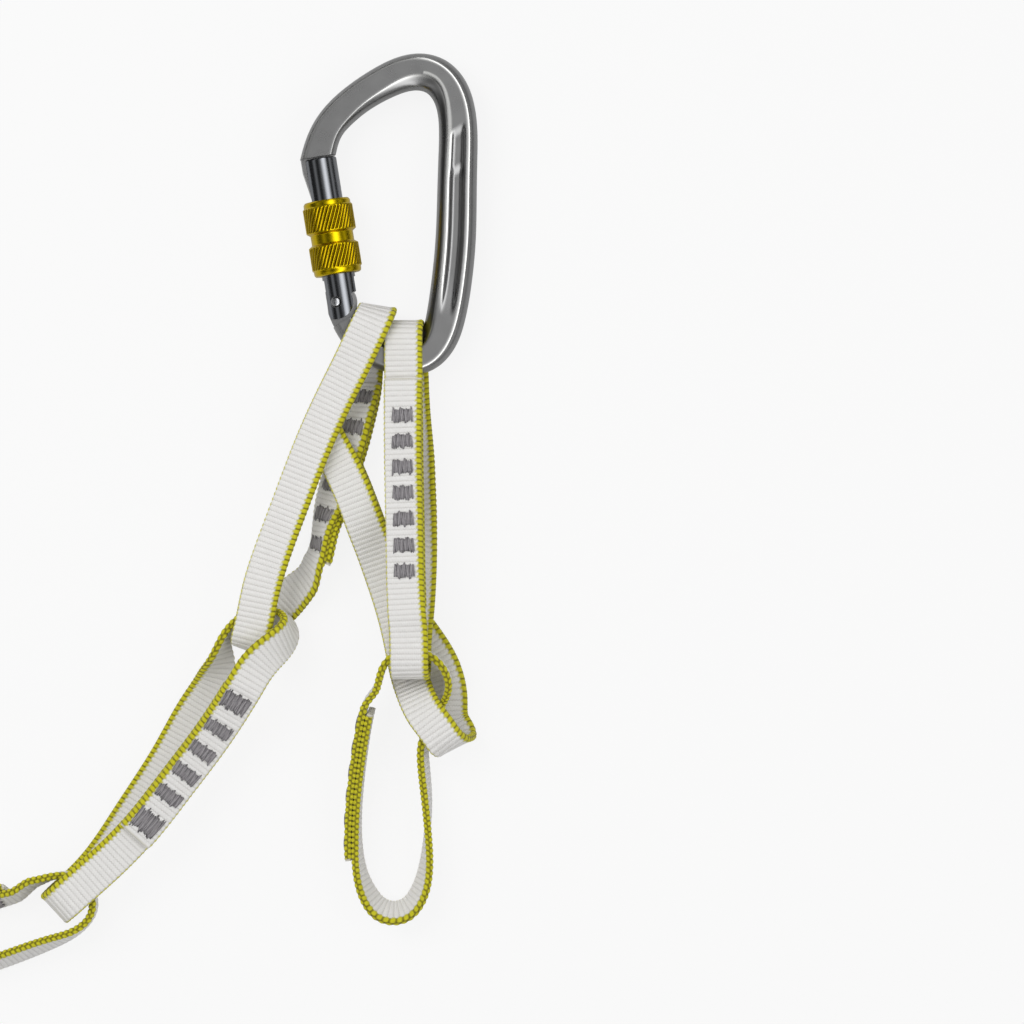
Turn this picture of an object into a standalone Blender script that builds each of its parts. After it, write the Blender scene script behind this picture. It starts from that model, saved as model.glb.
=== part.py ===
"""Personal anchor chain: a screwgate carabiner and six sewn webbing loops, laid out flat.

Metres, +Z up, the surface it lies on at z = 0. The origin is on the underside of the
end loop's rear leg, just below the carabiner. Sizes are written in millimetres and
turned to metres once, where a mesh is made.
"""
import math

import bpy
import bmesh
import numpy as np

MM = 0.001

# Carabiner
MID_HEIGHT = 8.3          # height of the carabiner's mid plane
BAR_HALF_DEPTH = 5.2      # half of the forged bar's thickness, front to back
GROOVE_DEPTH = 2.1        # depth of the recess along the spine
GAP = 0.3                 # clearance between separate pieces

# Gate, in its own frame: the rivet is the origin, v runs up the barrel, u runs inwards
RIVET_X = -22.67
RIVET_Y = 30.93
GATE_TILT = 9.12          # degrees the gate leans outwards at its top
AXIS_OFFSET = 1.9         # barrel axis, inwards of the rivet
BARREL_RADIUS = 5.25
BARREL_TOP = 45.9         # top of the barrel above the rivet
EAR_RADIUS = 5.4          # rounded lower end of the gate about the rivet
FORK_WIDTH = 4.6          # slot in the gate's lower end
FORK_TOP = 7.4
TANG_THICKNESS = 4.0      # tongue of the body inside the fork
TANG_OUTER = 3.0          # how far the tang reaches outwards of the rivet
CAM_RADIUS = 4.7          # tang's radius where the push rod rests on it, gate shut
CAM_RISE = 2.6            # growth of that radius per radian
CAM_START = 10.0          # degrees past the barrel's direction where the growth starts
CAM_END = 50.0            # degrees past it where the growth ends
RIVET_RADIUS = 1.2
RIVET_HEAD_RADIUS = 1.55
RIVET_HEAD_HEIGHT = 0.9
BORE_RADIUS = 2.75        # bore in the barrel for spring and push rod
BORE_TOP = 31.0
ROD_LENGTH = 8.0
ROD_TIP_RADIUS = 0.9
ROD_TIP_LENGTH = 2.4
ROD_LIFT_GAP = 0.45       # between the tang and the push rod's tip
SPRING_WIRE = 0.7
SPRING_TURNS = 8

# Nose hook that the gate's top closes on
HOOK_REACH = 6.05         # from the barrel's axis to the hook's outer side
HOOK_ROOT = 3.6
HOOK_TIP = 33.2           # height of the hook's tip above the rivet
HOOK_TAPER = 1.5
HOOK_THICKNESS = 4.4

# Locking sleeve
SLEEVE_BOTTOM = 8.7
SLEEVE_LENGTH = 23.7
SLEEVE_RADIUS = 7.95
SLEEVE_PLAY = 0.35        # between barrel and sleeve, the room for their thread
SLEEVE_BORE = BARREL_RADIUS + SLEEVE_PLAY
HOOK_PLAY = 0.9           # between the hook's outer side and the sleeve's counterbore
SLEEVE_COUNTERBORE = HOOK_REACH + HOOK_PLAY
COUNTERBORE_DEPTH = 9.8
KNURL_STEP = 0.55         # rims and groove, below the knurled bands

# Webbing
TAPE_WIDTH = 12.0
TAPE_THICKNESS = 2.0
EDGE_ROUND = 0.6
RAMP = 9.0                # length over which the outer end climbs onto the inner one
TACK_THICKNESS = 0.4


def material(name, colour, roughness, metallic=0.0):
    """A Principled material from a linear colour."""
    made = bpy.data.materials.new(name)
    made.use_nodes = True
    shader = made.node_tree.nodes["Principled BSDF"]
    shader.inputs["Base Color"].default_value = (*colour, 1.0)
    shader.inputs["Roughness"].default_value = roughness
    shader.inputs["Metallic"].default_value = metallic
    return made


def node(name, verts, faces, finish, smooth_angle=35, origin=(0.0, 0.0, 0.0)):
    """A mesh object from points in millimetres, with its origin where it is asked for."""
    mesh = bpy.data.meshes.new(name)
    points = [tuple(float(c - o) * MM for c, o in zip(p, origin)) for p in verts]
    mesh.from_pydata(points, [], [tuple(int(i) for i in f) for f in faces])
    mesh.validate()
    work = bmesh.new()
    work.from_mesh(mesh)
    bmesh.ops.recalc_face_normals(work, faces=work.faces)
    work.to_mesh(mesh)
    work.free()
    mesh.shade_smooth()
    mesh.set_sharp_from_angle(angle=math.radians(smooth_angle))
    if finish:
        mesh.materials.append(finish)
    made = bpy.data.objects.new(name, mesh)
    made.location = tuple(o * MM for o in origin)
    bpy.context.scene.collection.objects.link(made)
    return made


def hide(tool):
    """Marks a cutter or an added lump, which is no piece of its own."""
    tool.hide_render = True
    tool.display_type = "WIRE"
    return tool


def boolean(target, tool, operation="DIFFERENCE"):
    """Cuts or joins the hidden tool."""
    step = target.modifiers.new(tool.name, "BOOLEAN")
    step.object = hide(tool)
    step.operation = operation
    step.solver = "EXACT"


def skin(rings):
    """Points and faces of a body lofted through equal rings, with flat end caps."""
    rings = np.asarray(rings)
    count, size, _ = rings.shape
    verts = rings.reshape(-1, 3)
    faces = []
    for i in range(count - 1):
        for j in range(size):
            k = (j + 1) % size
            faces.append((i * size + j, i * size + k, (i + 1) * size + k, (i + 1) * size + j))
    faces.append(tuple(range(size))[::-1])
    faces.append(tuple(range((count - 1) * size, count * size)))
    return verts, faces


def turned(name, profile, finish, sides=24):
    """A closed profile of (radius, v) points turned about the v axis, local Y."""
    profile = np.asarray(profile, float)
    turn = 2 * math.pi * np.arange(sides) / sides
    radius = profile[:, 0][None, :]
    verts = np.stack([
        radius * np.cos(turn)[:, None],
        np.repeat(profile[:, 1][None, :], sides, 0),
        radius * np.sin(turn)[:, None],
    ], axis=2).reshape(-1, 3)
    size = len(profile)
    faces = []
    for i in range(sides):
        after = (i + 1) % sides
        for j in range(size):
            k = (j + 1) % size
            faces.append((i * size + j, i * size + k, after * size + k, after * size + j))
    return node(name, verts, faces, finish)


def solid_of_turning(name, profile, finish, sides=24):
    """A solid bar turned about local Y from (radius, v) points, capped flat."""
    turn = 2 * math.pi * np.arange(sides) / sides
    rings = [
        np.stack([r * np.cos(turn), np.full(sides, v), r * np.sin(turn)], axis=1)
        for r, v in profile
    ]
    verts, faces = skin(rings)
    return node(name, verts, faces, finish)


def plate(name, outline, low, high, finish):
    """A flat outline of (x, y) points with its two faces at z low and high."""
    outline = np.asarray(outline, float)
    rings = [np.column_stack([outline, np.full(len(outline), z)]) for z in (low, high)]
    verts, faces = skin(rings)
    return node(name, verts, faces, finish)


def open_curve(points, samples):
    """Natural cubic curve through the points, one column at a time."""
    points = np.asarray(points, float)
    knots = np.concatenate([[0], np.cumsum(np.linalg.norm(np.diff(points[:, :2], axis=0), axis=1))])
    step = np.diff(knots)
    count = len(points)
    system = np.eye(count)
    wanted = np.zeros_like(points)
    for i in range(1, count - 1):
        system[i, i - 1:i + 2] = step[i - 1], 2 * (step[i - 1] + step[i]), step[i]
        wanted[i] = 6 * ((points[i + 1] - points[i]) / step[i] - (points[i] - points[i - 1]) / step[i - 1])
    bend = np.linalg.solve(system, wanted)
    return evaluate(points, bend, knots, step, np.linspace(0, knots[-1], samples))


def closed_curve(points, samples):
    """The same through a closed ring of points."""
    points = np.asarray(points, float)
    ring = np.vstack([points, points[:1]])
    knots = np.concatenate([[0], np.cumsum(np.linalg.norm(np.diff(ring[:, :3], axis=0), axis=1))])
    step = np.diff(knots)
    count = len(points)
    system = np.zeros((count, count))
    wanted = np.zeros_like(points)
    for i in range(count):
        before = (i - 1) % count
        after = (i + 1) % count
        system[i, before] += step[before]
        system[i, i] += 2 * (step[before] + step[i])
        system[i, after] += step[i]
        wanted[i] = 6 * ((points[after] - points[i]) / step[i] - (points[i] - points[before]) / step[before])
    bend = np.linalg.solve(system, wanted)
    bend = np.vstack([bend, bend[:1]])
    return evaluate(ring, bend, knots, step, np.linspace(0, knots[-1], samples))


def evaluate(points, bend, knots, step, places):
    """Cubic pieces from their end points and second derivatives."""
    index = np.clip(np.searchsorted(knots, places, side="right") - 1, 0, len(step) - 1)
    h = step[index][:, None]
    a = ((knots[index + 1] - places)[:, None]) / h
    b = 1 - a
    return (
        a * points[index] + b * points[index + 1]
        + ((a ** 3 - a) * bend[index] + (b ** 3 - b) * bend[index + 1]) * h ** 2 / 6
    )


def unit(vectors):
    """Each row at length one."""
    return vectors / np.linalg.norm(vectors, axis=1)[:, None]


def in_gate_frame(made):
    """Sets a piece that is modelled in the gate's frame on the rivet."""
    made.location = (RIVET_X * MM, RIVET_Y * MM, MID_HEIGHT * MM)
    made.rotation_euler = (0, 0, math.radians(GATE_TILT))
    return made


# Finishes
ALUMINIUM = material("aluminium_satin", (0.40, 0.41, 0.42), 0.32, 1.0)
GUNMETAL = material("gate_gunmetal", (0.10, 0.10, 0.11), 0.25, 1.0)
STEEL = material("steel", (0.30, 0.30, 0.31), 0.35, 1.0)
GOLD = material("anodised_gold", (0.62, 0.45, 0.02), 0.30, 1.0)
WEBBING = material("webbing_white", (0.80, 0.80, 0.78), 0.85)
THREAD = material("thread_grey", (0.16, 0.15, 0.16), 0.80)

# Centre line of the forged bar from nose to hinge: x, y, half width in the plane, groove share
BAR_LINE = [
    (-29.2, 73.6, 5.5, 0.0),
    (-27.8, 80.0, 5.2, 0.0),
    (-25.4, 86.0, 4.9, 0.0),
    (-21.0, 91.4, 5.0, 0.0),
    (-15.2, 96.2, 5.1, 0.0),
    (-7.6, 100.8, 5.4, 0.0),
    (-0.6, 103.6, 5.7, 0.0),
    (4.6, 104.0, 5.9, 0.0),
    (9.4, 102.3, 6.0, 0.0),
    (13.1, 98.2, 6.0, 0.0),
    (15.2, 92.3, 6.0, 0.1),
    (15.9, 85.7, 6.1, 0.6),
    (15.8, 76.2, 6.2, 0.9),
    (15.5, 63.5, 6.3, 1.0),
    (15.1, 50.8, 6.4, 1.0),
    (13.9, 38.1, 6.4, 1.0),
    (12.0, 26.4, 6.2, 0.8),
    (9.6, 19.0, 5.8, 0.4),
    (5.2, 14.0, 5.2, 0.1),
    (-1.0, 12.6, 4.7, 0.0),
    (-7.3, 13.7, 4.5, 0.0),
    (-13.0, 16.6, 4.4, 0.0),
    (-17.3, 20.6, 4.3, 0.0),
    (-20.0, 24.9, 4.2, 0.0),
]
# Bar section: share of half width (plus is the outer side), share of half depth, groove share
BAR_SECTION = [
    (-1.00, -0.30, 0), (-1.00, 0.30, 0), (-0.80, 0.78, 0), (-0.44, 1.00, 0),
    (-0.28, 1.00, 1), (0.34, 1.00, 1), (0.52, 1.00, 0), (0.84, 0.74, 0), (1.00, 0.28, 0),
    (1.00, -0.28, 0), (0.84, -0.74, 0), (0.52, -1.00, 0),
    (0.34, -1.00, 1), (-0.28, -1.00, 1), (-0.44, -1.00, 0), (-0.80, -0.78, 0),
]
BAR_STATIONS = 62


def bar_body():
    """The forged C: nose, top arm, spine, bottom arm and hinge end."""
    line = open_curve(BAR_LINE, BAR_STATIONS)
    run = unit(np.gradient(line[:, :2], axis=0))
    outward = np.column_stack([-run[:, 1], run[:, 0]])
    rings = []
    for (x, y, half, groove), side in zip(line, outward):
        ring = []
        for across, up, sunk in BAR_SECTION:
            depth = BAR_HALF_DEPTH * up
            depth -= math.copysign(GROOVE_DEPTH * max(groove, 0.0) * sunk, up)
            ring.append((x + side[0] * half * across, y + side[1] * half * across, depth))
        rings.append(ring)
    verts, faces = skin(rings)
    made = node("carabiner_body", verts, faces, ALUMINIUM, 50)
    made.location = (0, 0, MID_HEIGHT * MM)
    return made


def hook():
    """Tapering hook below the nose, its outer side rounded about the barrel, in the gate's frame."""
    root = AXIS_OFFSET - HOOK_ROOT
    rings = []
    for z in np.linspace(-HOOK_THICKNESS / 2, HOOK_THICKNESS / 2, 5):
        reach = AXIS_OFFSET - math.sqrt(HOOK_REACH ** 2 - z ** 2)
        outline = [
            (root, HOOK_TIP + 1.2), (root, BARREL_TOP + 4.0), (reach + 1.6, BARREL_TOP + 4.0),
            (reach, BARREL_TOP + 0.5), (reach, BARREL_TOP - 4.0), (reach + HOOK_TAPER, HOOK_TIP),
            (root - 0.3, HOOK_TIP),
        ]
        rings.append([(u, v, z) for u, v in outline])
    verts, faces = skin(rings)
    return in_gate_frame(node("nose_hook_form", verts, faces, None))


def tang():
    """Tongue inside the gate's fork: a cam about the rivet on a stalk from the bottom arm."""
    half = TANG_THICKNESS / 2
    outline = []
    for past in range(-90, 131, 10):
        grown = min(max(past, CAM_START), CAM_END) - CAM_START
        radius = CAM_RADIUS + CAM_RISE * math.radians(grown)
        turn = math.radians(90 - past)
        outline.append((max(radius * math.cos(turn), -TANG_OUTER), radius * math.sin(turn)))
    outline += [(4.6, -10.0), (0.0, -10.0), (-TANG_OUTER + 0.6, -6.0)]
    return in_gate_frame(plate("tang_form", outline, -half, half, None))


def round_bar(name, radius, low, high, along_z=False, u=0.0, sides=24):
    """Plain round cutter along v, or along z through the rivet."""
    made = solid_of_turning(name, [(radius, low), (radius, high)], None, sides)
    turn = np.array([[1, 0, 0], [0, 0, -1], [0, 1, 0]]) if along_z else np.eye(3)
    for vertex in made.data.vertices:
        x, y, z = turn @ np.array(vertex.co)
        vertex.co = (x + u * MM, y, z)
    return in_gate_frame(made)


def make_carabiner():
    """Body with its nose hook and tang, bored for the rivet."""
    body = bar_body()
    top = BARREL_TOP + 1.5 * GAP
    seat = [(-9.0, HOOK_TIP), (9.0, HOOK_TIP), (9.0, top), (-9.0, top)]
    boolean(body, in_gate_frame(plate("nose_face", seat, -8, 8, None)))
    boolean(body, hook(), "UNION")
    boolean(body, tang(), "UNION")
    boolean(body, round_bar("tang_bore", RIVET_RADIUS + GAP, -9, 9, True, 0.0, 16))
    return body


def make_gate():
    """Barrel with a fork below, a slot for the nose hook and a blind bore for the spring."""
    top = BARREL_TOP
    edge = 0.6
    barrel = solid_of_turning("gate_barrel", [
        (BARREL_RADIUS, -9.0), (BARREL_RADIUS, top - edge), (BARREL_RADIUS - edge, top),
    ], GUNMETAL, 28)
    for vertex in barrel.data.vertices:
        vertex.co.x += AXIS_OFFSET * MM
    in_gate_frame(barrel)

    below = [(9.0, 4.2)]
    for degrees in range(20, -201, -11):
        turn = math.radians(degrees)
        below.append((EAR_RADIUS * math.cos(turn), EAR_RADIUS * math.sin(turn)))
    below += [(-9.0, 1.8), (-9.0, -12.0), (9.0, -12.0)]
    boolean(barrel, in_gate_frame(plate("ear_rounding", below, -8, 8, None)))

    half = FORK_WIDTH / 2
    fork = [(-9, -12), (12, -12), (12, FORK_TOP), (-9, FORK_TOP)]
    boolean(barrel, in_gate_frame(plate("fork_slot", fork, -half, half, None)))

    low = HOOK_TIP - 2 * GAP
    inner = AXIS_OFFSET - HOOK_ROOT + GAP
    half = HOOK_THICKNESS / 2 + GAP
    slot = [(-9, low), (inner, low), (inner, top + 3), (-9, top + 3)]
    boolean(barrel, in_gate_frame(plate("hook_slot", slot, -half, half, None)))

    bore = round_bar("spring_bore", BORE_RADIUS, FORK_TOP - 2, BORE_TOP, False, AXIS_OFFSET, 16)
    boolean(barrel, bore)
    boolean(barrel, round_bar("ear_bore", RIVET_HEAD_RADIUS + GAP, -9, 9, True, 0.0, 16))
    return barrel


def make_rivet():
    """Hinge rivet: a shank with a peened head at each end."""
    reach = math.sqrt(BARREL_RADIUS ** 2 - AXIS_OFFSET ** 2) - 0.05
    neck = reach - RIVET_HEAD_HEIGHT
    profile = [
        (RIVET_HEAD_RADIUS - 0.35, -reach), (RIVET_HEAD_RADIUS, -reach + 0.3),
        (RIVET_HEAD_RADIUS, -neck), (RIVET_RADIUS, -neck + 0.3),
        (RIVET_RADIUS, neck - 0.3), (RIVET_HEAD_RADIUS, neck),
        (RIVET_HEAD_RADIUS, reach - 0.3), (RIVET_HEAD_RADIUS - 0.35, reach),
    ]
    made = solid_of_turning("hinge_rivet", profile, STEEL, 16)
    for vertex in made.data.vertices:
        vertex.co = (vertex.co.x, -vertex.co.z, vertex.co.y)
    return in_gate_frame(made)


def make_closer():
    """Push rod and coil spring in the barrel's bore, which shut the gate."""
    foot = CAM_RADIUS + ROD_LIFT_GAP
    head = foot + ROD_LENGTH
    rod = solid_of_turning("push_rod", [
        (ROD_TIP_RADIUS, foot), (ROD_TIP_RADIUS, foot + ROD_TIP_LENGTH),
        (BORE_RADIUS - GAP, foot + ROD_TIP_LENGTH + 0.6), (BORE_RADIUS - GAP, head),
    ], STEEL, 16)
    for vertex in rod.data.vertices:
        vertex.co.x += AXIS_OFFSET * MM
    in_gate_frame(rod)

    radius = BORE_RADIUS - GAP - SPRING_WIRE / 2
    low = head + GAP + SPRING_WIRE / 2
    high = BORE_TOP - GAP - SPRING_WIRE / 2
    turns = SPRING_TURNS
    per_turn = 8
    curve = bpy.data.curves.new("gate_spring", "CURVE")
    curve.dimensions = "3D"
    curve.bevel_depth = SPRING_WIRE / 2 * MM
    curve.bevel_resolution = 1
    curve.use_fill_caps = True
    curve.render_resolution_u = 0
    spline = curve.splines.new("POLY")
    spline.points.add(turns * per_turn)
    for i, point in enumerate(spline.points):
        turn = 2 * math.pi * i / per_turn
        height = low + (high - low) * i / (turns * per_turn)
        place = (AXIS_OFFSET + radius * math.cos(turn), height, radius * math.sin(turn))
        point.co = (place[0] * MM, place[1] * MM, place[2] * MM, 1)
    curve.materials.append(STEEL)
    spring = bpy.data.objects.new("gate_spring", curve)
    bpy.context.scene.collection.objects.link(spring)
    in_gate_frame(spring)


def make_sleeve():
    """Threaded locking sleeve: rims, two knurled bands and a groove between them."""
    low = SLEEVE_BOTTOM
    high = low + SLEEVE_LENGTH
    rim = SLEEVE_RADIUS - KNURL_STEP
    groove = SLEEVE_RADIUS - 2.2 * KNURL_STEP
    profile = [
        (rim - 0.5, low), (rim, low + 0.5), (rim, low + 1.6), (SLEEVE_RADIUS, low + 2.1),
        (SLEEVE_RADIUS, low + 9.3), (groove, low + 10.2), (groove, low + 13.0),
        (SLEEVE_RADIUS, low + 13.9), (SLEEVE_RADIUS, high - 2.2), (rim, high - 1.7),
        (rim, high - 0.3), (rim - 0.2, high), (SLEEVE_COUNTERBORE, high),
        (SLEEVE_COUNTERBORE, high - COUNTERBORE_DEPTH),
        (SLEEVE_BORE, high - COUNTERBORE_DEPTH - 0.8), (SLEEVE_BORE, low),
    ]
    sleeve = turned("locking_sleeve", profile, GOLD, 28)
    for vertex in sleeve.data.vertices:
        vertex.co.x += AXIS_OFFSET * MM
    return in_gate_frame(sleeve)


# Webbing routes. Each row is one hand-set point on the tape's middle: x, y, height, then
# the way the tape's width points, as its bearing in the plane and its tilt up from it.
# A dict is a whole bend at a loop's end. The pivot is a point on the loop's joint axis.
BEND_SQUARENESS = 2.6     # power of the superellipse that a loop's end follows


def bend(start, end, heading, reach, bearings):
    """Rows round a loop's end: half a superellipse from start to end, reaching out along heading."""
    start = np.array(start)
    end = np.array(end)
    out = reach * np.array([math.cos(math.radians(heading)), math.sin(math.radians(heading)), 0.0])
    rows = []
    for degrees in (90, 60, 30, 0, -30, -60, -90):
        turn = math.radians(degrees)
        level = math.copysign(abs(math.sin(turn)) ** (2 / BEND_SQUARENESS), degrees)
        share = max(math.cos(turn), 0.0) ** (2 / BEND_SQUARENESS)
        place = (start + end) / 2 + (start - end) / 2 * level + out * share
        bearing = bearings[0] + (bearings[1] - bearings[0]) * (90 - degrees) / 180
        rows.append((*place, bearing, 0.0))
    return rows


LOOPS = {
    # End loop, clipped on the bottom arm, sewn on its front leg
    "end_loop": dict(
        side=-1, tacks=7, overlap=73.4, first_tack=12.1, last_tack=61.4, tack_size=(4.1, 6.4),
        pivot=(-7.0, 14.5, 8.3), route=[
        (0.2, -66.4, 22.8, 0, 8),
        (-0.4, -40.0, 20.0, 0, 12),
        (-0.9, -15.0, 17.2, 0, 12),
        (-1.2, 5.0, 15.4, 0, 5),
        dict(start=(-1.4, 17.4, 15.3), end=(-0.6, 17.4, 1.0), heading=90, reach=6.9, bearings=(0, 0)),
        (0.3, 9.0, 1.0, 0, 0),
        (0.5, 4.5, 1.0, 0, 0),
        (0.7, 0.0, 1.0, 0, 0),
        (1.0, -4.5, 1.0, 0, 0),
        (1.4, -9.0, 1.2, 0, 2),
        (2.0, -14.5, 2.2, 0, 9),
        (2.7, -21.0, 3.7, 0, 19),
        (3.3, -30.0, 4.7, 0, 26),
        (3.3, -43.0, 8.4, 0, 12),
        (3.1, -53.0, 9.8, 0, 0),
        (2.4, -66.0, 9.1, 0, 0),
        dict(start=(1.4, -79.2, 9.1), end=(0.6, -79.2, 24.4), heading=-90, reach=8.2, bearings=(0, 0)),
    ]),
    # Free loop, on edge through the end loop and the middle loop, sewn on its left leg
    "free_loop": dict(
        side=1, tacks=6, overlap=48.0, first_tack=4.0, last_tack=43.0, tack_size=(4.6, 8.0),
        pivot=(1.0, -82.5, 14.0), route=[
        (-11.6, -98.6, 12.6, 180, 89),
        (-14.2, -113.0, 9.6, 180, 88),
        (-15.9, -128.0, 7.4, 180, 87),
        (-16.2, -141.0, 6.6, 182, 84),
        (-15.0, -151.0, 6.3, 195, 76),
        (-12.2, -158.0, 6.0, 218, 67),
        (-8.6, -162.0, 5.9, 245, 62),
        (-4.6, -163.1, 5.9, 270, 61),
        (-0.4, -161.8, 5.9, 292, 62),
        (3.2, -157.2, 6.0, 320, 66),
        (5.4, -149.6, 6.2, 348, 74),
        (6.2, -139.0, 6.4, 360, 86),
        (5.9, -126.0, 7.0, 360, 97),
        (4.9, -115.0, 7.8, 360, 99),
        (5.0, -108.4, 8.4, 360, 96),
        (7.0, -102.8, 8.4, 360, 90),
        (10.2, -97.8, 8.5, 360, 90),
        (12.4, -92.4, 10.2, 360, 90),
        (11.8, -86.4, 13.8, 360, 90),
        (8.2, -81.7, 16.2, 360, 90),
        (3.0, -79.6, 16.7, 360, 90),
        (-2.2, -79.9, 16.7, 360, 90),
        (-6.6, -83.0, 16.2, 360, 90),
        (-9.2, -89.6, 14.4, 360, 90),
    ]),
    # Middle loop, round the long loop's rear leg and the free loop's right leg, sewn behind
    "middle_loop": dict(
        side=-1, tacks=5, overlap=60.0, first_tack=20.0, last_tack=56.0, tack_size=(4.2, 7.6),
        pivot=(-20.0, -18.0, 5.0), route=[
        (11.2, -87.0, 1.0, 18, 0),
        (7.4, -79.5, 1.0, 32, 0),
        (2.2, -72.2, 1.0, 36, 0),
        (-4.6, -62.0, 1.0, 30, 0),
        (-10.2, -48.0, 1.0, 22, 0),
        (-15.4, -34.0, 1.0, 24, 0),
        (-20.4, -22.0, 1.0, 27, 0),
        dict(start=(-26.0, -11.8, 1.0), end=(-26.2, -11.4, 13.7), heading=118, reach=5.2, bearings=(28, 28)),
        (-21.8, -19.6, 13.7, 25, 0),
        (-16.6, -31.0, 14.2, 20, 0),
        (-13.7, -39.0, 13.2, 20, 0),
        (-10.6, -47.4, 9.0, 19, 0),
        (-8.3, -54.0, 6.9, 18, 0),
        (-5.6, -62.0, 6.6, 18, 0),
        (-2.0, -75.5, 6.6, 17, 0),
        (-0.6, -82.6, 6.6, 17, 0),
        (0.4, -87.2, 7.2, 20, 0),
        (1.8, -91.4, 10.4, 24, 0),
        (3.5, -95.4, 14.4, 27, 0),
        (5.6, -99.2, 16.4, 28, 0),
        dict(start=(9.4, -104.3, 17.0), end=(13.4, -102.4, 1.0), heading=-58, reach=7.2, bearings=(31, 22)),
        (12.8, -96.0, 1.0, 12, 0),
    ]),
    # Long loop, clipped on the bottom arm, sewn on its rear leg
    "long_loop": dict(
        side=-1, tacks=6, overlap=58.0, first_tack=5.0, last_tack=53.0, tack_size=(4.4, 8.2),
        pivot=(-7.0, 14.5, 8.3), route=[
        (-27.6, -51.0, 6.3, -32, 60),
        (-25.1, -40.5, 6.5, -28, 58),
        (-22.4, -30.0, 6.5, -27, 34),
        (-20.2, -22.0, 6.4, -26, 30),
        (-17.8, -13.5, 6.3, -25, 27),
        (-15.6, -4.0, 4.9, -20, 24),
        (-14.5, 3.5, 2.5, -12, 10),
        (-14.2, 9.0, 1.1, -8, 0),
        (-14.2, 14.0, 1.0, -6, 0),
        dict(start=(-14.2, 20.6, 1.0), end=(-13.2, 20.5, 17.6), heading=64, reach=9.4, bearings=(-4, -14)),
        (-17.0, 12.5, 17.2, -22, 0),
        (-21.5, 3.5, 16.9, -23, 4),
        (-25.9, -5.6, 16.8, -22, 6),
        (-30.8, -17.0, 16.8, -20, 8),
        (-36.2, -31.0, 16.6, -19, 12),
        (-41.8, -46.0, 16.4, -18, 12),
        (-46.2, -60.0, 16.8, -18, 4),
        dict(start=(-48.9, -72.6, 16.4), end=(-47.6, -72.8, 1.0), heading=-105, reach=6.5, bearings=(-19, -24)),
        (-42.6, -67.6, 1.0, -34, 0),
        (-36.4, -61.6, 3.6, -36, 22),
    ]),
    # Lower loop, on edge through the long loop's bend, then turned flat, sewn on its front leg
    "lower_loop": dict(
        side=-1, tacks=6, overlap=58.0, first_tack=4.0, last_tack=52.0, tack_size=(4.4, 8.6),
        pivot=(-49.5, -76.0, 8.6), route=[
        (-52.4, -91.6, 16.4, 140, 12),
        (-61.6, -105.6, 13.4, 141, 12),
        (-73.9, -122.0, 13.8, 142, 12),
        (-85.1, -136.2, 14.8, 140, 10),
        (-96.6, -147.8, 15.6, 136, 4),
        dict(start=(-105.7, -155.9, 16.0), end=(-106.2, -155.4, 1.0), heading=-138, reach=8.0, bearings=(133, 133)),
        (-98.8, -147.6, 1.0, 136, 0),
        (-88.6, -132.8, 1.0, 143, 0),
        (-75.6, -112.4, 1.0, 147, 0),
        (-67.4, -98.0, 2.2, 147, 6),
        (-61.8, -88.8, 4.2, 147, 25),
        (-59.6, -81.2, 7.2, 147, 60),
        (-57.6, -74.0, 8.7, 147, 86),
        (-52.8, -68.8, 8.7, 147, 90),
        (-46.6, -66.8, 8.7, 147, 90),
        (-40.6, -67.8, 9.0, 147, 88),
        (-37.4, -71.8, 12.4, 145, 72),
        (-39.6, -76.6, 17.2, 142, 44),
        (-45.2, -81.8, 19.4, 140, 20),
    ]),
    # Tie-in loop, on edge through the lower loop's bottom bend, sewn on its upper leg
    "tie_in_loop": dict(
        side=-1, tacks=6, overlap=58.0, first_tack=5.0, last_tack=53.0, tack_size=(4.4, 7.6),
        pivot=(-106.5, -158.5, 8.6), route=[
        (-127.0, -155.8, 6.8, 95, 70),
        (-140.0, -159.2, 6.2, 98, 66),
        (-160.0, -162.6, 6.0, 100, 66),
        (-185.0, -168.6, 6.0, 104, 66),
        (-206.0, -174.6, 6.0, 107, 68),
        (-217.0, -180.4, 6.0, 107, 74),
        (-220.4, -187.6, 6.0, 107, 80),
        (-214.4, -193.8, 6.0, 107, 74),
        (-200.0, -195.6, 6.0, 107, 66),
        (-175.0, -191.6, 6.0, 106, 66),
        (-150.0, -184.8, 6.0, 104, 66),
        (-129.5, -178.2, 6.4, 102, 68),
        (-112.4, -171.8, 7.8, 100, 74),
        (-104.2, -167.8, 8.6, 95, 84),
        (-100.2, -162.8, 8.7, 90, 88),
        (-100.8, -155.8, 8.7, 90, 88),
        (-104.8, -151.8, 8.7, 90, 88),
        (-110.0, -150.8, 8.7, 90, 88),
        (-116.5, -152.4, 8.2, 92, 82),
    ]),
}
COARSE_STEP = 5.5         # millimetres of straight tape per ring of points
TURN_STEP = 15.0          # degrees of bend or twist per ring of points


def tape_section(width, thickness, rounding):
    """Eight-sided section of a tape: (across, through) pairs."""
    a = width / 2
    b = thickness / 2
    c = min(rounding, b * 0.8)
    return [(-a, -b + c), (-a + c, -b), (a - c, -b), (a, -b + c), (a, b - c), (a - c, b), (-a + c, b), (-a, b - c)]


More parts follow.
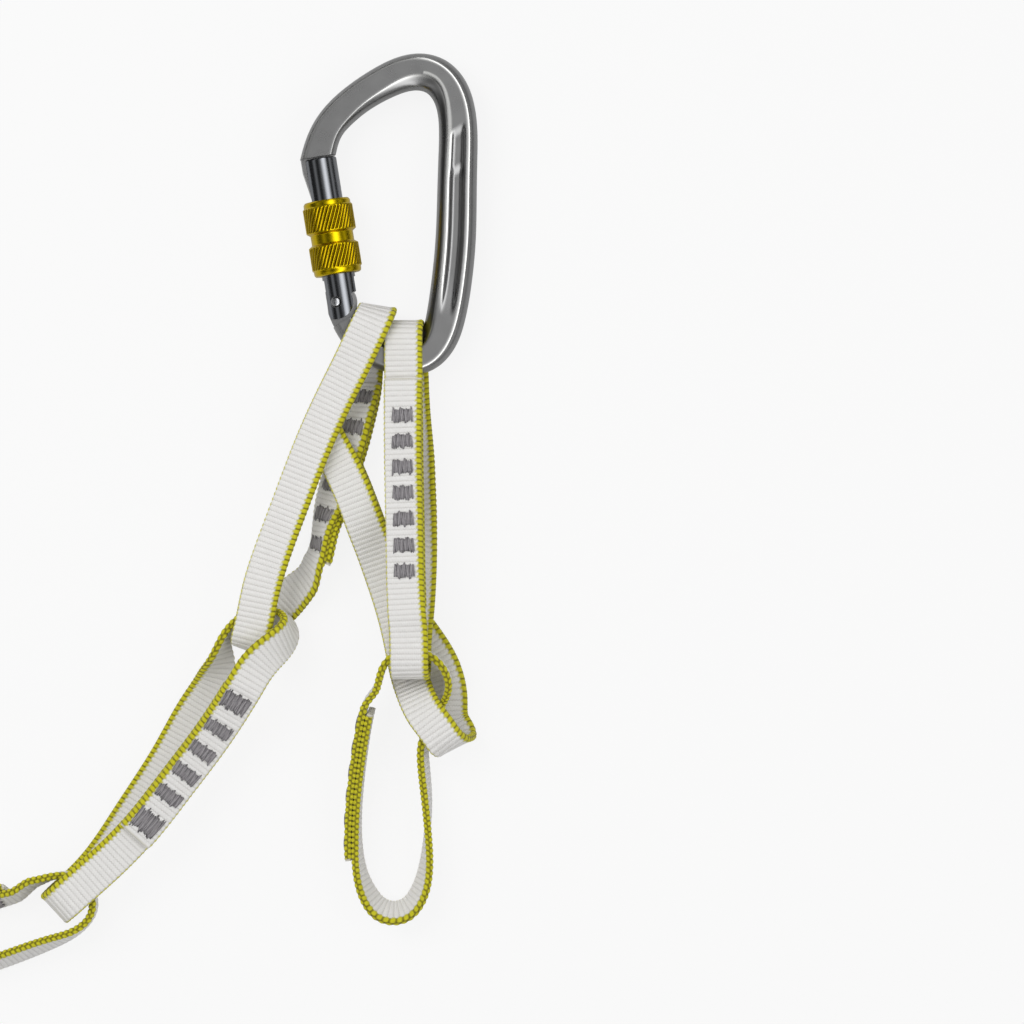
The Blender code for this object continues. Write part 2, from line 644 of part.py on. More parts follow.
class Tape:
    """A closed route sampled finely, with its width and face directions."""

    def __init__(self, route):
        rows = []
        for x, y, z, bearing, tilt in route:
            flat = math.cos(math.radians(tilt))
            turn = math.radians(bearing)
            rows.append((x, y, z, flat * math.cos(turn), flat * math.sin(turn), math.sin(math.radians(tilt))))
        line = closed_curve(rows, 1601)
        self.place = line[:, :3]
        run = np.roll(self.place[:-1], -1, 0) - np.roll(self.place[:-1], 1, 0)
        run = unit(np.vstack([run, run[:1]]))
        across = line[:, 3:]
        across = unit(across - run * np.sum(across * run, axis=1)[:, None])
        self.across = across
        self.face = np.cross(run, across)
        hops = np.linalg.norm(np.diff(self.place, axis=0), axis=1)
        self.at = np.concatenate([[0], np.cumsum(hops)])
        self.length = self.at[-1]
        bend = np.degrees(np.linalg.norm(np.diff(run, axis=0), axis=1))
        twist = np.degrees(np.linalg.norm(np.diff(across, axis=0), axis=1))
        self.cost = np.concatenate([[0], np.cumsum(hops / COARSE_STEP + np.maximum(bend, twist) / TURN_STEP)])

    def stations(self, start, end):
        """Distances from start to end, closer together where the tape bends."""
        laps = np.array([start, end]) // self.length
        cost = np.interp([start % self.length, end % self.length], self.at, self.cost) + laps * self.cost[-1]
        count = max(2, int(math.ceil(cost[1] - cost[0])) + 1)
        steps = np.linspace(cost[0], cost[1], count)
        lap = steps // self.cost[-1]
        return np.interp(steps % self.cost[-1], self.cost, self.at) + lap * self.length

    def frame(self, distance):
        """Place, width direction and face direction at a distance along the route."""
        s = distance % self.length
        place = np.array([np.interp(s, self.at, self.place[:, k]) for k in range(3)])
        across = np.array([np.interp(s, self.at, self.across[:, k]) for k in range(3)])
        face = np.array([np.interp(s, self.at, self.face[:, k]) for k in range(3)])
        return place, across / np.linalg.norm(across), face / np.linalg.norm(face)

    def rings(self, distances, lifts, section):
        """Section rings at the given distances, each lifted off the route's middle."""
        out = []
        for distance, lift in zip(distances, lifts):
            place, across, face = self.frame(distance)
            out.append([place + across * a + face * (b + lift) for a, b in section])
        return out


def make_loop(name, side, tacks, overlap, first_tack, last_tack, tack_size, pivot, route):
    """One sewn loop: a single tape whose outer end lies on its inner end, and its bar tacks."""
    rows = []
    for row in route:
        rows += bend(**row) if isinstance(row, dict) else [row]
    tape = Tape(rows)
    layer = TAPE_THICKNESS + GAP
    distances = tape.stations(0, tape.length - RAMP)
    climb = np.linspace(tape.length - RAMP, tape.length - 0.5, 5)[1:]
    upper = tape.stations(tape.length, tape.length + overlap)
    distances = np.concatenate([distances, climb, upper])
    share = np.clip((distances - (tape.length - RAMP)) / (RAMP - 1.0), 0, 1)
    lifts = side * layer * share ** 2 * (3 - 2 * share)
    section = tape_section(TAPE_WIDTH, TAPE_THICKNESS, EDGE_ROUND)
    verts, faces = skin(tape.rings(distances, lifts, section))
    node(name, verts, faces, WEBBING, origin=pivot)

    height = side * (layer + TAPE_THICKNESS / 2 + GAP + TACK_THICKNESS / 2)
    length, width = tack_size
    section = tape_section(width, TACK_THICKNESS, 0.15)
    for i in range(tacks):
        middle = tape.length + first_tack + (last_tack - first_tack) * i / (tacks - 1)
        ends = np.linspace(middle - length / 2, middle + length / 2, 3)
        verts, faces = skin(tape.rings(ends, [height] * 3, section))
        node(f"{name}_bar_tack_{i + 1}", verts, faces, THREAD, origin=pivot)


for old in list(bpy.data.objects):
    bpy.data.objects.remove(old, do_unlink=True)
make_carabiner()
make_gate()
make_rivet()
make_closer()
make_sleeve()
for loop_name, facts in LOOPS.items():
    make_loop(loop_name, **facts)
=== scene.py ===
"""Personal anchor chain: screwgate carabiner and six sewn webbing loops, seen from straight above."""
import math

import bmesh
import bpy
import numpy as np
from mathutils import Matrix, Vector


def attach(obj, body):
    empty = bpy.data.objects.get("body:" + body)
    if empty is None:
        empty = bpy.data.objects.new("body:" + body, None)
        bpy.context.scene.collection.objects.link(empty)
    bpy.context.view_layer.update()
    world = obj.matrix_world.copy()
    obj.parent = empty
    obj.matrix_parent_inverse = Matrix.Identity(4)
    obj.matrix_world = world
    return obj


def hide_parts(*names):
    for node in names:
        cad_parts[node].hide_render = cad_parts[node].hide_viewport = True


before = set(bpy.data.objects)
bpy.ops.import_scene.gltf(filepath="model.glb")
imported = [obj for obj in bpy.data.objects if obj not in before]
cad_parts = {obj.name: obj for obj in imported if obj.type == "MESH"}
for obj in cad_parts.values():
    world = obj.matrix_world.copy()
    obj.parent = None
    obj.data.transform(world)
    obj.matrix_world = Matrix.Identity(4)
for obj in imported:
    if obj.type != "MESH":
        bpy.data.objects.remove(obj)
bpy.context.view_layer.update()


# Camera. The photograph is taken from straight above with a long lens, and its frame is
# 325 mm wide at the height of the carabiner's middle.
MM = 0.001
MID_HEIGHT = 8.3          # the carabiner's middle above the floor, in millimetres
CAMERA_HEIGHT = 1.6
FRAME_WIDTH = 0.3251
SENSOR_WIDTH = 36.0
camera_data = bpy.data.cameras.new("camera_above")
camera_data.lens = SENSOR_WIDTH * CAMERA_HEIGHT / FRAME_WIDTH
camera_data.sensor_width = SENSOR_WIDTH
camera_data.clip_start = 0.01
camera = bpy.data.objects.new("camera_above", camera_data)
camera.location = (33.0 * MM, -35.6 * MM, CAMERA_HEIGHT + MID_HEIGHT * MM)
bpy.context.scene.collection.objects.link(camera)
bpy.context.scene.camera = camera


# Carabiner body. One forging of aluminium alloy: nose, top arm, spine with a recess on each
# side, and bottom arm. It is bent from bar, hot forged, trimmed and tumbled to a satin grey.
BAR_HALF_DEPTH = 5.2
RECESS_DEPTH = 1.3


def linear(hex_colour):
    """A colour written in sRGB hex, as the linear RGBA that a shader takes."""
    channels = [int(hex_colour[i:i + 2], 16) / 255 for i in (1, 3, 5)]
    return (*[c / 12.92 if c <= 0.04045 else ((c + 0.055) / 1.055) ** 2.4 for c in channels], 1.0)


def add_node(tree, kind, inputs=None, **settings):
    """Adds a node, sets its properties, and links or fills its inputs."""
    made = tree.nodes.new(kind)
    for key, value in settings.items():
        setattr(made, key, value)
    for socket, value in (inputs or {}).items():
        if isinstance(value, bpy.types.NodeSocket):
            tree.links.new(value, made.inputs[socket])
        else:
            made.inputs[socket].default_value = value
    return made


def start_material(name):
    """An empty Principled material: the material, its tree and its shader."""
    made = bpy.data.materials.new(name)
    made.use_nodes = True
    return made, made.node_tree, made.node_tree.nodes["Principled BSDF"]


def grid_faces(rows, columns):
    """Quads of a tube: rows of points, each row closed on itself."""
    row = np.arange(rows - 1)[:, None]
    column = np.arange(columns)[None, :]
    after = (column + 1) % columns
    corners = [
        row * columns + column, row * columns + after,
        (row + 1) * columns + after, (row + 1) * columns + column,
    ]
    return np.stack([np.broadcast_to(c, (rows - 1, columns)) for c in corners], axis=-1).reshape(-1, 4)


def lofted(name, rings, finish, sharp=40, rounds=False):
    """Mesh through rings of points in millimetres, shape (rings, points, 3). The ends are capped,
    or with rounds the last ring joins the first. Edges over the sharp angle stay sharp."""
    rings = np.asarray(rings, float)
    count, size, _ = rings.shape
    faces = grid_faces(count, size).tolist()
    if rounds:
        first = np.arange(size)
        last = first + (count - 1) * size
        faces += np.stack([last, np.roll(last, -1), np.roll(first, -1), first], axis=1).tolist()
    else:
        faces.append(list(range(size))[::-1])
        faces.append(list(range((count - 1) * size, count * size)))
    mesh = bpy.data.meshes.new(name)
    mesh.from_pydata(rings.reshape(-1, 3) * MM, [], faces)
    work = bmesh.new()
    work.from_mesh(mesh)
    bmesh.ops.recalc_face_normals(work, faces=work.faces)
    work.to_mesh(mesh)
    work.free()
    mesh.shade_smooth()
    mesh.set_sharp_from_angle(angle=math.radians(sharp))
    mesh.materials.append(finish)
    made = bpy.data.objects.new(name, mesh)
    bpy.context.scene.collection.objects.link(made)
    return made


def keep_values(piece, key, values, kind="FLOAT"):
    """Stores a number, or a vector, for each point of a piece's mesh, where its material reads it."""
    made = piece.data.attributes.new(key, kind, "POINT")
    made.data.foreach_set("vector" if kind == "FLOAT_VECTOR" else "value", values.reshape(-1))


def natural_curve(points, samples):
    """Cubic curve through rows of numbers, free at both ends, evenly sampled."""
    points = np.asarray(points, float)
    hops = np.linalg.norm(np.diff(points[:, :2], axis=0), axis=1)
    knots = np.concatenate([[0], np.cumsum(hops)])
    count = len(points)
    system = np.eye(count)
    wanted = np.zeros_like(points)
    inner = np.arange(1, count - 1)
    system[inner, inner - 1] = hops[:-1]
    system[inner, inner] = 2 * (hops[:-1] + hops[1:])
    system[inner, inner + 1] = hops[1:]
    slope = np.diff(points, axis=0) / hops[:, None]
    wanted[1:-1] = 6 * np.diff(slope, axis=0)
    return cubic_pieces(points, np.linalg.solve(system, wanted), knots, np.linspace(0, knots[-1], samples))


def cubic_pieces(points, bends, knots, places):
    """Cubic between neighbouring points, from their values and second derivatives."""
    index = np.clip(np.searchsorted(knots, places, side="right") - 1, 0, len(knots) - 2)
    step = np.diff(knots)[index][:, None]
    a = (knots[index + 1] - places)[:, None] / step
    b = 1 - a
    straight = a * points[index] + b * points[index + 1]
    return straight + ((a ** 3 - a) * bends[index] + (b ** 3 - b) * bends[index + 1]) * step ** 2 / 6


def rounded(points, times):
    """Cuts the corners of a closed polygon at a quarter of each side, several times over."""
    for _ in range(times):
        after = np.roll(points, -1, axis=0)
        pairs = [0.75 * points + 0.25 * after, 0.25 * points + 0.75 * after]
        points = np.stack(pairs, axis=1).reshape(-1, points.shape[1])
    return points


def smooth_step(value, low, high):
    """Rises from 0 at low to 1 at high with level ends."""
    share = np.clip((value - low) / (high - low), 0, 1)
    return share ** 2 * (3 - 2 * share)


# Centre line from nose to hinge: x, y, half width in the plane, and where the ridges run on
# the inner and the outer side, as shares of the half width
bar_line = natural_curve([
    (-29.2, 73.6, 5.5, -0.74, 0.80), (-27.8, 80.0, 5.2, -0.74, 0.80), (-25.4, 86.0, 4.9, -0.72, 0.78),
    (-21.0, 91.4, 5.0, -0.64, 0.76), (-15.2, 96.2, 5.1, -0.52, 0.74), (-7.6, 100.8, 5.4, -0.38, 0.72),
    (-0.6, 103.6, 5.7, -0.22, 0.70), (4.6, 104.0, 5.9, -0.16, 0.66), (9.4, 102.3, 6.0, -0.18, 0.60),
    (13.1, 98.2, 6.0, -0.34, 0.58), (15.2, 92.3, 6.0, -0.50, 0.60), (15.9, 85.7, 6.1, -0.56, 0.61),
    (15.8, 76.2, 6.2, -0.60, 0.61), (15.5, 63.5, 6.3, -0.62, 0.61), (15.1, 50.8, 6.4, -0.62, 0.61),
    (13.9, 38.1, 6.4, -0.60, 0.61), (12.0, 26.4, 6.2, -0.56, 0.60), (9.6, 19.0, 5.8, -0.50, 0.58),
    (5.2, 14.0, 5.2, -0.50, 0.60), (-1.0, 12.6, 4.7, -0.50, 0.60), (-7.3, 13.7, 4.5, -0.50, 0.60),
    (-13.0, 16.6, 4.4, -0.50, 0.60), (-17.3, 20.6, 4.3, -0.50, 0.60), (-20.0, 24.9, 4.2, -0.50, 0.60),
], 420)
# Section: share of the half width (plus is the outer side), of the half depth, and of the recess.
# The ridges stand at -0.44 and 0.56 here, and each station moves them to its own places.
SECTION_RIDGES = (-0.44, 0.56)
bar_section = rounded(np.array([
    (-1.00, -0.26, 0), (-1.00, 0.26, 0), (-0.84, 0.74, 0), (-0.50, 0.985, 0), (-0.42, 1.00, 0),
    (-0.23, 1.00, 0), (-0.14, 1.00, 1), (0.05, 1.00, 1), (0.24, 1.00, 1), (0.34, 1.00, 0),
    (0.46, 1.00, 0), (0.60, 0.985, 0), (0.88, 0.72, 0), (1.00, 0.26, 0),
    (1.00, -0.26, 0), (0.88, -0.72, 0), (0.60, -0.985, 0), (0.46, -1.00, 0), (0.34, -1.00, 0),
    (0.24, -1.00, 1), (0.05, -1.00, 1), (-0.14, -1.00, 1), (-0.23, -1.00, 0),
    (-0.42, -1.00, 0), (-0.50, -0.985, 0), (-0.84, -0.74, 0),
]), 2)
SPINE_FROM = 5.0                                # the spine is every station with x past this
RECESS_STEPS = ((86.6, 83.2), (74.4, 70.8))     # y where each level starts and is reached
RECESS_LEVELS = (0.40, 0.60)                    # share of the depth that each level adds
RECESS_FADE = (40.0, 26.0)                      # y where the recess starts to fade, and is gone
STEP_SLANT = 4.0                                # how much higher the steps lie on the outer side
# The inner land and the ridges get a lighter metal colour: partly rope wear, partly painted highlight
LAND_WEAR_AND_HIGHLIGHT = (-0.33, 0.10)                       # place and spread, as shares of the half width
RIDGE_WEAR_AND_HIGHLIGHT = ((0.55, 0.07, 0.8), (-0.50, 0.05, 0.7))   # place, spread and amount


def forged_bar():
    """Point on station i and section place j: centre line + outward normal x half width x share,
    at half depth x share, less the recess, which steps down along the spine in two levels. The
    shares are stretched so that the section's ridges land on the station's ridges. The wear and
    highlight mask is a bell over the inner land of the spine and a narrow one over each ridge:
    partly wear where ropes rub, partly a painted highlight that lightens the metal's colour there."""
    x, y, half, inner, outer = (bar_line[:, k][:, None] for k in range(5))
    run = np.gradient(bar_line[:, :2], axis=0)
    run /= np.linalg.norm(run, axis=1)[:, None]
    share, up, sunk = (bar_section[:, k][None, :] for k in range(3))
    low, high = SECTION_RIDGES
    inside = -1 + (share + 1) / (low + 1) * (inner + 1)
    between = inner + (share - low) / (high - low) * (outer - inner)
    outside = 1 - (1 - share) / (1 - high) * (1 - outer)
    across = np.where(share < low, inside, np.where(share > high, outside, between))
    on_spine = x > SPINE_FROM
    slant = STEP_SLANT * share
    first, second = (smooth_step(-y, -(start + slant), -(full + slant)) for start, full in RECESS_STEPS)
    fade = 1 - smooth_step(-y, -RECESS_FADE[0], -RECESS_FADE[1])
    deep = on_spine * fade * (RECESS_LEVELS[0] * first + RECESS_LEVELS[1] * second)
    depth = BAR_HALF_DEPTH * up - np.sign(up) * RECESS_DEPTH * deep * sunk
    wear_and_highlight = on_spine * fade * np.exp(-((share - LAND_WEAR_AND_HIGHLIGHT[0]) / LAND_WEAR_AND_HIGHLIGHT[1]) ** 4)
    for ridge, spread, amount in RIDGE_WEAR_AND_HIGHLIGHT:
        wear_and_highlight = wear_and_highlight + amount * np.exp(-((share - ridge) / spread) ** 2)
    rings = np.stack([
        x - run[:, 1:2] * half * across,
        y + run[:, 0:1] * half * across,
        MID_HEIGHT + depth,
    ], axis=2)
    return rings, np.clip(wear_and_highlight, 0, 1)


# Gate frame: the rivet is the origin, v runs up the barrel, and the frame leans out at the top
RIVET = np.array([-22.67, 30.93, MID_HEIGHT])
GATE_TILT = math.radians(9.12)
AXIS_OFFSET = 1.9


def gate_frame(points):
    """Points given as (u, v, z) about the rivet, turned by the gate's lean and set on the rivet."""
    cosine, sine = math.cos(GATE_TILT), math.sin(GATE_TILT)
    turn = np.array([[cosine, sine, 0], [-sine, cosine, 0], [0, 0, 1]])
    return np.asarray(points, float) @ turn + RIVET


def plate(name, outline, low, high, finish):
    """A flat outline in the gate's frame, carried straight from one height to another."""
    outline = np.asarray(outline, float)
    rings = [np.column_stack([outline, np.full(len(outline), height)]) for height in (low, high)]
    return lofted(name, gate_frame(rings), finish)


CUT_REACH = 9.0           # how far a cutter reaches past the rivet, clear of what it cuts
CUT_DEPTH = 8.0


def rivet_hole(name, radius, finish):
    """Round cutter through the rivet's place: the radius carried round it in 15 degree steps."""
    turn = np.radians(np.arange(0, 360, 15))
    circle = np.stack([radius * np.cos(turn), radius * np.sin(turn)], axis=1)
    return plate(name, circle, -CUT_REACH, CUT_REACH, finish)


def joined(target, tool, operation):
    """Applies one Boolean and removes the tool."""
    step = target.modifiers.new("step", "BOOLEAN")
    step.object = tool
    step.operation = operation
    step.solver = "EXACT"
    with bpy.context.temp_override(object=target, active_object=target, selected_objects=[target]):
        bpy.ops.object.modifier_apply(modifier="step")
    bpy.data.objects.remove(tool, do_unlink=True)


# Aluminium alloy 7075, forged and tumbled: bright metal under a fine matt grain, which breaks
# up reflections into a soft grey. The inner land and the ridges are painted a lighter grey,
# partly wear where ropes rub and partly painted highlight.
aluminium, tree, shader = start_material("aluminium_forged_tumbled")
place = add_node(tree, "ShaderNodeTexCoord").outputs["Object"]
grain = add_node(tree, "ShaderNodeTexNoise", {"Vector": place, "Scale": 2600.0, "Detail": 3.0})
cloud = add_node(tree, "ShaderNodeTexNoise", {"Vector": place, "Scale": 160.0, "Detail": 2.0})
tone = add_node(tree, "ShaderNodeMix", {
    0: cloud.outputs["Fac"], 6: linear("#858585"), 7: linear("#8F8F8F"),
}, data_type="RGBA")
# Lighter colour over the inner land and the ridges: partly rope wear, partly painted highlight
wear_and_highlight_mask = add_node(tree, "ShaderNodeAttribute", attribute_name="wear_and_highlight")
tone = add_node(tree, "ShaderNodeMix", {
    0: wear_and_highlight_mask.outputs["Fac"], 6: tone.outputs[2], 7: linear("#D2D2D0"),
}, data_type="RGBA")
matt = add_node(tree, "ShaderNodeMapRange", {"Value": cloud.outputs["Fac"], "To Min": 0.25, "To Max": 0.31})
bump = add_node(tree, "ShaderNodeBump", {
    "Height": grain.outputs["Fac"], "Strength": 0.03, "Distance": 0.0001,
})
tree.links.new(tone.outputs[2], shader.inputs["Base Color"])
tree.links.new(matt.outputs["Result"], shader.inputs["Roughness"])
tree.links.new(bump.outputs["Normal"], shader.inputs["Normal"])
shader.inputs["Metallic"].default_value = 1.0

BODY_SHARP = 48
rings, wear_and_highlight = forged_bar()
body = lofted("carabiner_forging", rings, aluminium, BODY_SHARP)
keep_values(body, "wear_and_highlight", wear_and_highlight)

# The nose is cut off square above the barrel, and the hook stands in its place: flat on the
# inner side, round about the barrel's axis on the outer side, and tapered at the tip
BARREL_TOP = 45.9
HOOK_TIP = 33.2
HOOK_REACH = 6.05
HOOK_HALF_DEPTH = 2.2
HOOK_ROOT = -1.7
seat_top = BARREL_TOP + 0.45
seat = [(-CUT_REACH, HOOK_TIP), (CUT_REACH, HOOK_TIP), (CUT_REACH, seat_top), (-CUT_REACH, seat_top)]
joined(body, plate("nose_seat", seat, -CUT_DEPTH, CUT_DEPTH, aluminium), "DIFFERENCE")
level = np.linspace(-HOOK_HALF_DEPTH, HOOK_HALF_DEPTH, 9)[:, None]
reach = AXIS_OFFSET - np.sqrt(HOOK_REACH ** 2 - level ** 2)
root = np.full_like(level, HOOK_ROOT)
sideways = np.hstack([root, root, reach + 1.6, reach, reach, reach + 1.5, root - 0.3])
upward = np.array([
    HOOK_TIP + 1.2, BARREL_TOP + 4.0, BARREL_TOP + 4.0, BARREL_TOP + 0.5, BARREL_TOP - 4.0,
    HOOK_TIP, HOOK_TIP,
])
hook = np.stack(np.broadcast_arrays(sideways, upward, level), axis=2)
joined(body, lofted("nose_hook", gate_frame(hook), aluminium), "UNION")

# The tang is a cam about the rivet, flat on the outer side, on a stalk from the bottom arm
TANG_RADIUS = 4.7
TANG_OUTER = -3.0
CAM_RISE = 2.6            # growth of the radius for each radian of the cam's ramp
past = np.arange(-90, 131, 5)
turn = np.radians(past)
radius = TANG_RADIUS + CAM_RISE * np.radians(np.clip(past, 10, 50) - 10)
tang = np.stack([np.maximum(radius * np.sin(turn), TANG_OUTER), radius * np.cos(turn)], axis=1)
tang = np.vstack([tang, [(4.6, -10.0), (0.6, -12.0), (-1.2, -9.8), (-2.4, -6.4), (-3.1, -3.4)]])
joined(body, plate("hinge_tang", tang, -2.0, 2.0, aluminium), "UNION")
joined(body, rivet_hole("tang_bore", 1.5, aluminium), "DIFFERENCE")
body.data.set_sharp_from_angle(angle=math.radians(BODY_SHARP))
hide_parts("carabiner_body")
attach(body, "carabiner")


# Gate barrel. Turned from aluminium bar, forked at the foot for the hinge, slotted at the top
# for the nose hook, bored for the spring, then polished and anodised a dark gunmetal.
gunmetal, tree, shader = start_material("gunmetal_anodised_polished")
place = add_node(tree, "ShaderNodeTexCoord").outputs["Object"]
streak = add_node(tree, "ShaderNodeTexNoise", {"Vector": place, "Scale": 900.0, "Detail": 2.0})
matt = add_node(tree, "ShaderNodeMapRange", {"Value": streak.outputs["Fac"], "To Min": 0.13, "To Max": 0.20})
tree.links.new(matt.outputs["Result"], shader.inputs["Roughness"])
shader.inputs["Base Color"].default_value = linear("#7C7E82")
shader.inputs["Metallic"].default_value = 1.0


def turned(name, profile, finish, sides=96):
    """A profile of (radius, v) points carried round the barrel's axis, its two ends left flat."""
    radius, height = np.asarray(profile, float).T[:, :, None]
    turn = 2 * math.pi * np.arange(sides) / sides
    rings = np.stack([
        AXIS_OFFSET + radius * np.cos(turn),
        np.repeat(height, sides, 1),
        radius * np.sin(turn),
    ], axis=2)
    return lofted(name, gate_frame(rings), finish)


BARREL_RADIUS = 5.25
CROWN_ROUND = 0.6
EAR_RADIUS = 5.4
FORK_TOP = 7.4
SLOT_BOTTOM = HOOK_TIP - 0.6
SLOT_SIDE = -1.4
SPRING_RADIUS = 2.75
turn = np.radians(np.arange(0, 91, 15))
crown = np.stack([
    BARREL_RADIUS - CROWN_ROUND + CROWN_ROUND * np.cos(turn),
    BARREL_TOP - CROWN_ROUND + CROWN_ROUND * np.sin(turn),
], axis=1)
barrel = turned("gate_barrel_turned", np.vstack([[(BARREL_RADIUS, -9.0)], crown]), gunmetal)
turn = np.radians(np.arange(20, -201, -5))
below = np.stack([EAR_RADIUS * np.cos(turn), EAR_RADIUS * np.sin(turn)], axis=1)
below = np.vstack([
    [(CUT_REACH, 4.2)], below, [(-CUT_REACH, 1.8), (-CUT_REACH, -12.0), (CUT_REACH, -12.0)],
])
joined(barrel, plate("ear_rounding", below, -CUT_DEPTH, CUT_DEPTH, gunmetal), "DIFFERENCE")
fork = [(-CUT_REACH, -12), (12, -12), (12, FORK_TOP), (-CUT_REACH, FORK_TOP)]
joined(barrel, plate("fork_slot", fork, -2.3, 2.3, gunmetal), "DIFFERENCE")
slot = [
    (-CUT_REACH, SLOT_BOTTOM), (SLOT_SIDE, SLOT_BOTTOM),
    (SLOT_SIDE, BARREL_TOP + 3), (-CUT_REACH, BARREL_TOP + 3),
]
joined(barrel, plate("hook_slot", slot, -2.7, 2.7, gunmetal), "DIFFERENCE")
spring_bore = turned("spring_bore", [(SPRING_RADIUS, 5.4), (SPRING_RADIUS, 31.0)], gunmetal, 32)
joined(barrel, spring_bore, "DIFFERENCE")
joined(barrel, rivet_hole("ear_bore", 1.85, gunmetal), "DIFFERENCE")
barrel.data.set_sharp_from_angle(angle=math.radians(30))
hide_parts("gate_barrel")
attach(barrel, "gate")


# Hinge rivet. A stainless pin through both ears and the tongue, its two ends peened to low
# domes and left bright.
steel, tree, shader = start_material("stainless_steel_drawn")
place = add_node(tree, "ShaderNodeTexCoord").outputs["Object"]
drawn = add_node(tree, "ShaderNodeTexNoise", {"Vector": place, "Scale": 1800.0, "Detail": 2.0})
matt = add_node(tree, "ShaderNodeMapRange", {"Value": drawn.outputs["Fac"], "To Min": 0.22, "To Max": 0.34})
tree.links.new(matt.outputs["Result"], shader.inputs["Roughness"])
shader.inputs["Base Color"].default_value = linear("#A8A9AB")
shader.inputs["Metallic"].default_value = 1.0
dome = [(0.45, 4.84), (1.1, 4.72), (1.45, 4.45), (1.55, 4.1), (1.55, 3.95), (1.2, 3.7)]
profile = np.array([(r, -z) for r, z in dome] + [(r, z) for r, z in dome[::-1]])
radius, level = profile.T[:, :, None]
RIVET_SIDES = 32
turn = 2 * math.pi * np.arange(RIVET_SIDES) / RIVET_SIDES
rings = np.stack([
    radius * np.cos(turn),
    radius * np.sin(turn),
    np.repeat(level, RIVET_SIDES, 1),
], axis=2)
rivet = lofted("hinge_rivet_peened", gate_frame(rings), steel, 50)
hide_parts("hinge_rivet")
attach(rivet, "carabiner")


# Push rod and gate spring. Steel, hidden in the barrel's bore: their CAD shapes are right and
# only take the drawn steel finish.
for name in ("push_rod", "gate_spring"):
    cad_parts[name].material_slots[0].material = steel


# Locking sleeve. Aluminium tube turned with a groove at the waist, cut with slanting knurl
# grooves on both bands, and anodised a yellow gold. The knurl grooves are painted a dark brown
# as shade.
anodised, tree, shader = start_material("aluminium_anodised_gold")
place = add_node(tree, "ShaderNodeTexCoord").outputs["Object"]
stain = add_node(tree, "ShaderNodeTexNoise", {"Vector": place, "Scale": 260.0, "Detail": 2.0})
# Painted shade: the knurl grooves are darkened to a dark brown by their depth
groove_shade_mask = add_node(tree, "ShaderNodeAttribute", attribute_name="groove_and_shade")
tone = add_node(tree, "ShaderNodeMix", {
    0: stain.outputs["Fac"], 6: linear("#BFA30A"), 7: linear("#CDB412"),
}, data_type="RGBA")
groove_and_shade = add_node(tree, "ShaderNodeMix", {
    0: groove_shade_mask.outputs["Fac"], 6: tone.outputs[2], 7: linear("#765808"),
}, data_type="RGBA")
matt = add_node(tree, "ShaderNodeMapRange", {"Value": stain.outputs["Fac"], "To Min": 0.22, "To Max": 0.32})
tree.links.new(groove_and_shade.outputs[2], shader.inputs["Base Color"])
tree.links.new(matt.outputs["Result"], shader.inputs["Roughness"])
shader.inputs["Metallic"].default_value = 1.0

SLEEVE_LOW = 8.7
SLEEVE_LENGTH = 23.7
SLEEVE_RADIUS = 7.95
KNURL_COUNT = 38
KNURL_COLUMNS = 10 * KNURL_COUNT
KNURL_DEPTH = 0.30
KNURL_SLANT = math.tan(math.radians(25))


def knurled_sleeve():
    """Outside: radius from the turned profile, less a rounded groove on every tenth column of
    the grid, whose columns lean with height as the grooves do. Inside: plain bore."""
    height = np.linspace(0, SLEEVE_LENGTH, 150)
    profile = np.interp(height, [0, 0.35, 0.9, 1.7, 2.1, 9.3, 10.1, 13.1, 13.9, 21.6, 22.0, 23.1, 23.7],
                        [6.95, 7.4, 7.55, 7.55, 7.95, 7.95, 6.8, 6.8, 7.95, 7.95, 7.5, 7.45, 7.0])
    banded = smooth_step(height, 1.9, 2.4) * (1 - smooth_step(height, 8.9, 9.4))
    banded += smooth_step(height, 13.8, 14.3) * (1 - smooth_step(height, 21.2, 21.8))
    turn = 2 * math.pi * np.arange(KNURL_COLUMNS) / KNURL_COLUMNS
    groove_and_shade = (0.5 + 0.5 * np.cos(KNURL_COUNT * turn[:, None])) ** 1.3 * banded[None, :]
    outer = profile[None, :] - KNURL_DEPTH * groove_and_shade
    inner_r = np.array([6.95, 6.95, 5.6, 5.6])
    inner_v = SLEEVE_LENGTH - np.array([0.0, 9.8, 10.6, SLEEVE_LENGTH])
    radius = np.hstack([outer, np.repeat(inner_r[None, :], len(turn), 0)])
    level = np.concatenate([height, inner_v])[None, :]
    around = turn[:, None] - level * KNURL_SLANT / SLEEVE_RADIUS
    # The grooves' depth also goes to the material as a painted shade mask
    shade = np.hstack([groove_and_shade, np.zeros((len(turn), len(inner_r)))])
    rings = np.stack([
        AXIS_OFFSET + radius * np.cos(around),
        np.broadcast_to(SLEEVE_LOW + level, radius.shape),
        radius * np.sin(around),
    ], axis=2)
    return rings, shade


rings, shade = knurled_sleeve()
sleeve = lofted("locking_sleeve_knurled", gate_frame(rings), anodised, 60, rounds=True)
keep_values(sleeve, "groove_and_shade", shade)
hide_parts("locking_sleeve")
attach(sleeve, "sleeve")


# Webbing loops. Flat woven tape of white high-strength polyethylene with lime yellow corded
# edges. Each loop is one length whose ends lie on one another and are sewn down.
TAPE_HALF_WIDTH = 6.0
TAPE_HALF_THICKNESS = 0.95
LAYER = 2.3               # how far out the overlap lies
RAMP = 9.0                # length over which it climbs there
RIB_PITCH = 1.7
WEFT_STEP = 0.9
WARP_PITCH = 0.6
BEAD_PITCH = 1.75
EDGE_CORD = 4.9           # girth at which the yellow cord starts, from the tape's middle line
EDGE_LEAN = 0.75          # how much further it laps over the one edge, and less over the other

webbing, tree, shader = start_material("polyethylene_webbing_woven")
woven = add_node(tree, "ShaderNodeAttribute", attribute_name="weave")
axes = add_node(tree, "ShaderNodeSeparateXYZ", {"Vector": woven.outputs["Vector"]})
corded = add_node(tree, "ShaderNodeAttribute", attribute_name="corded")
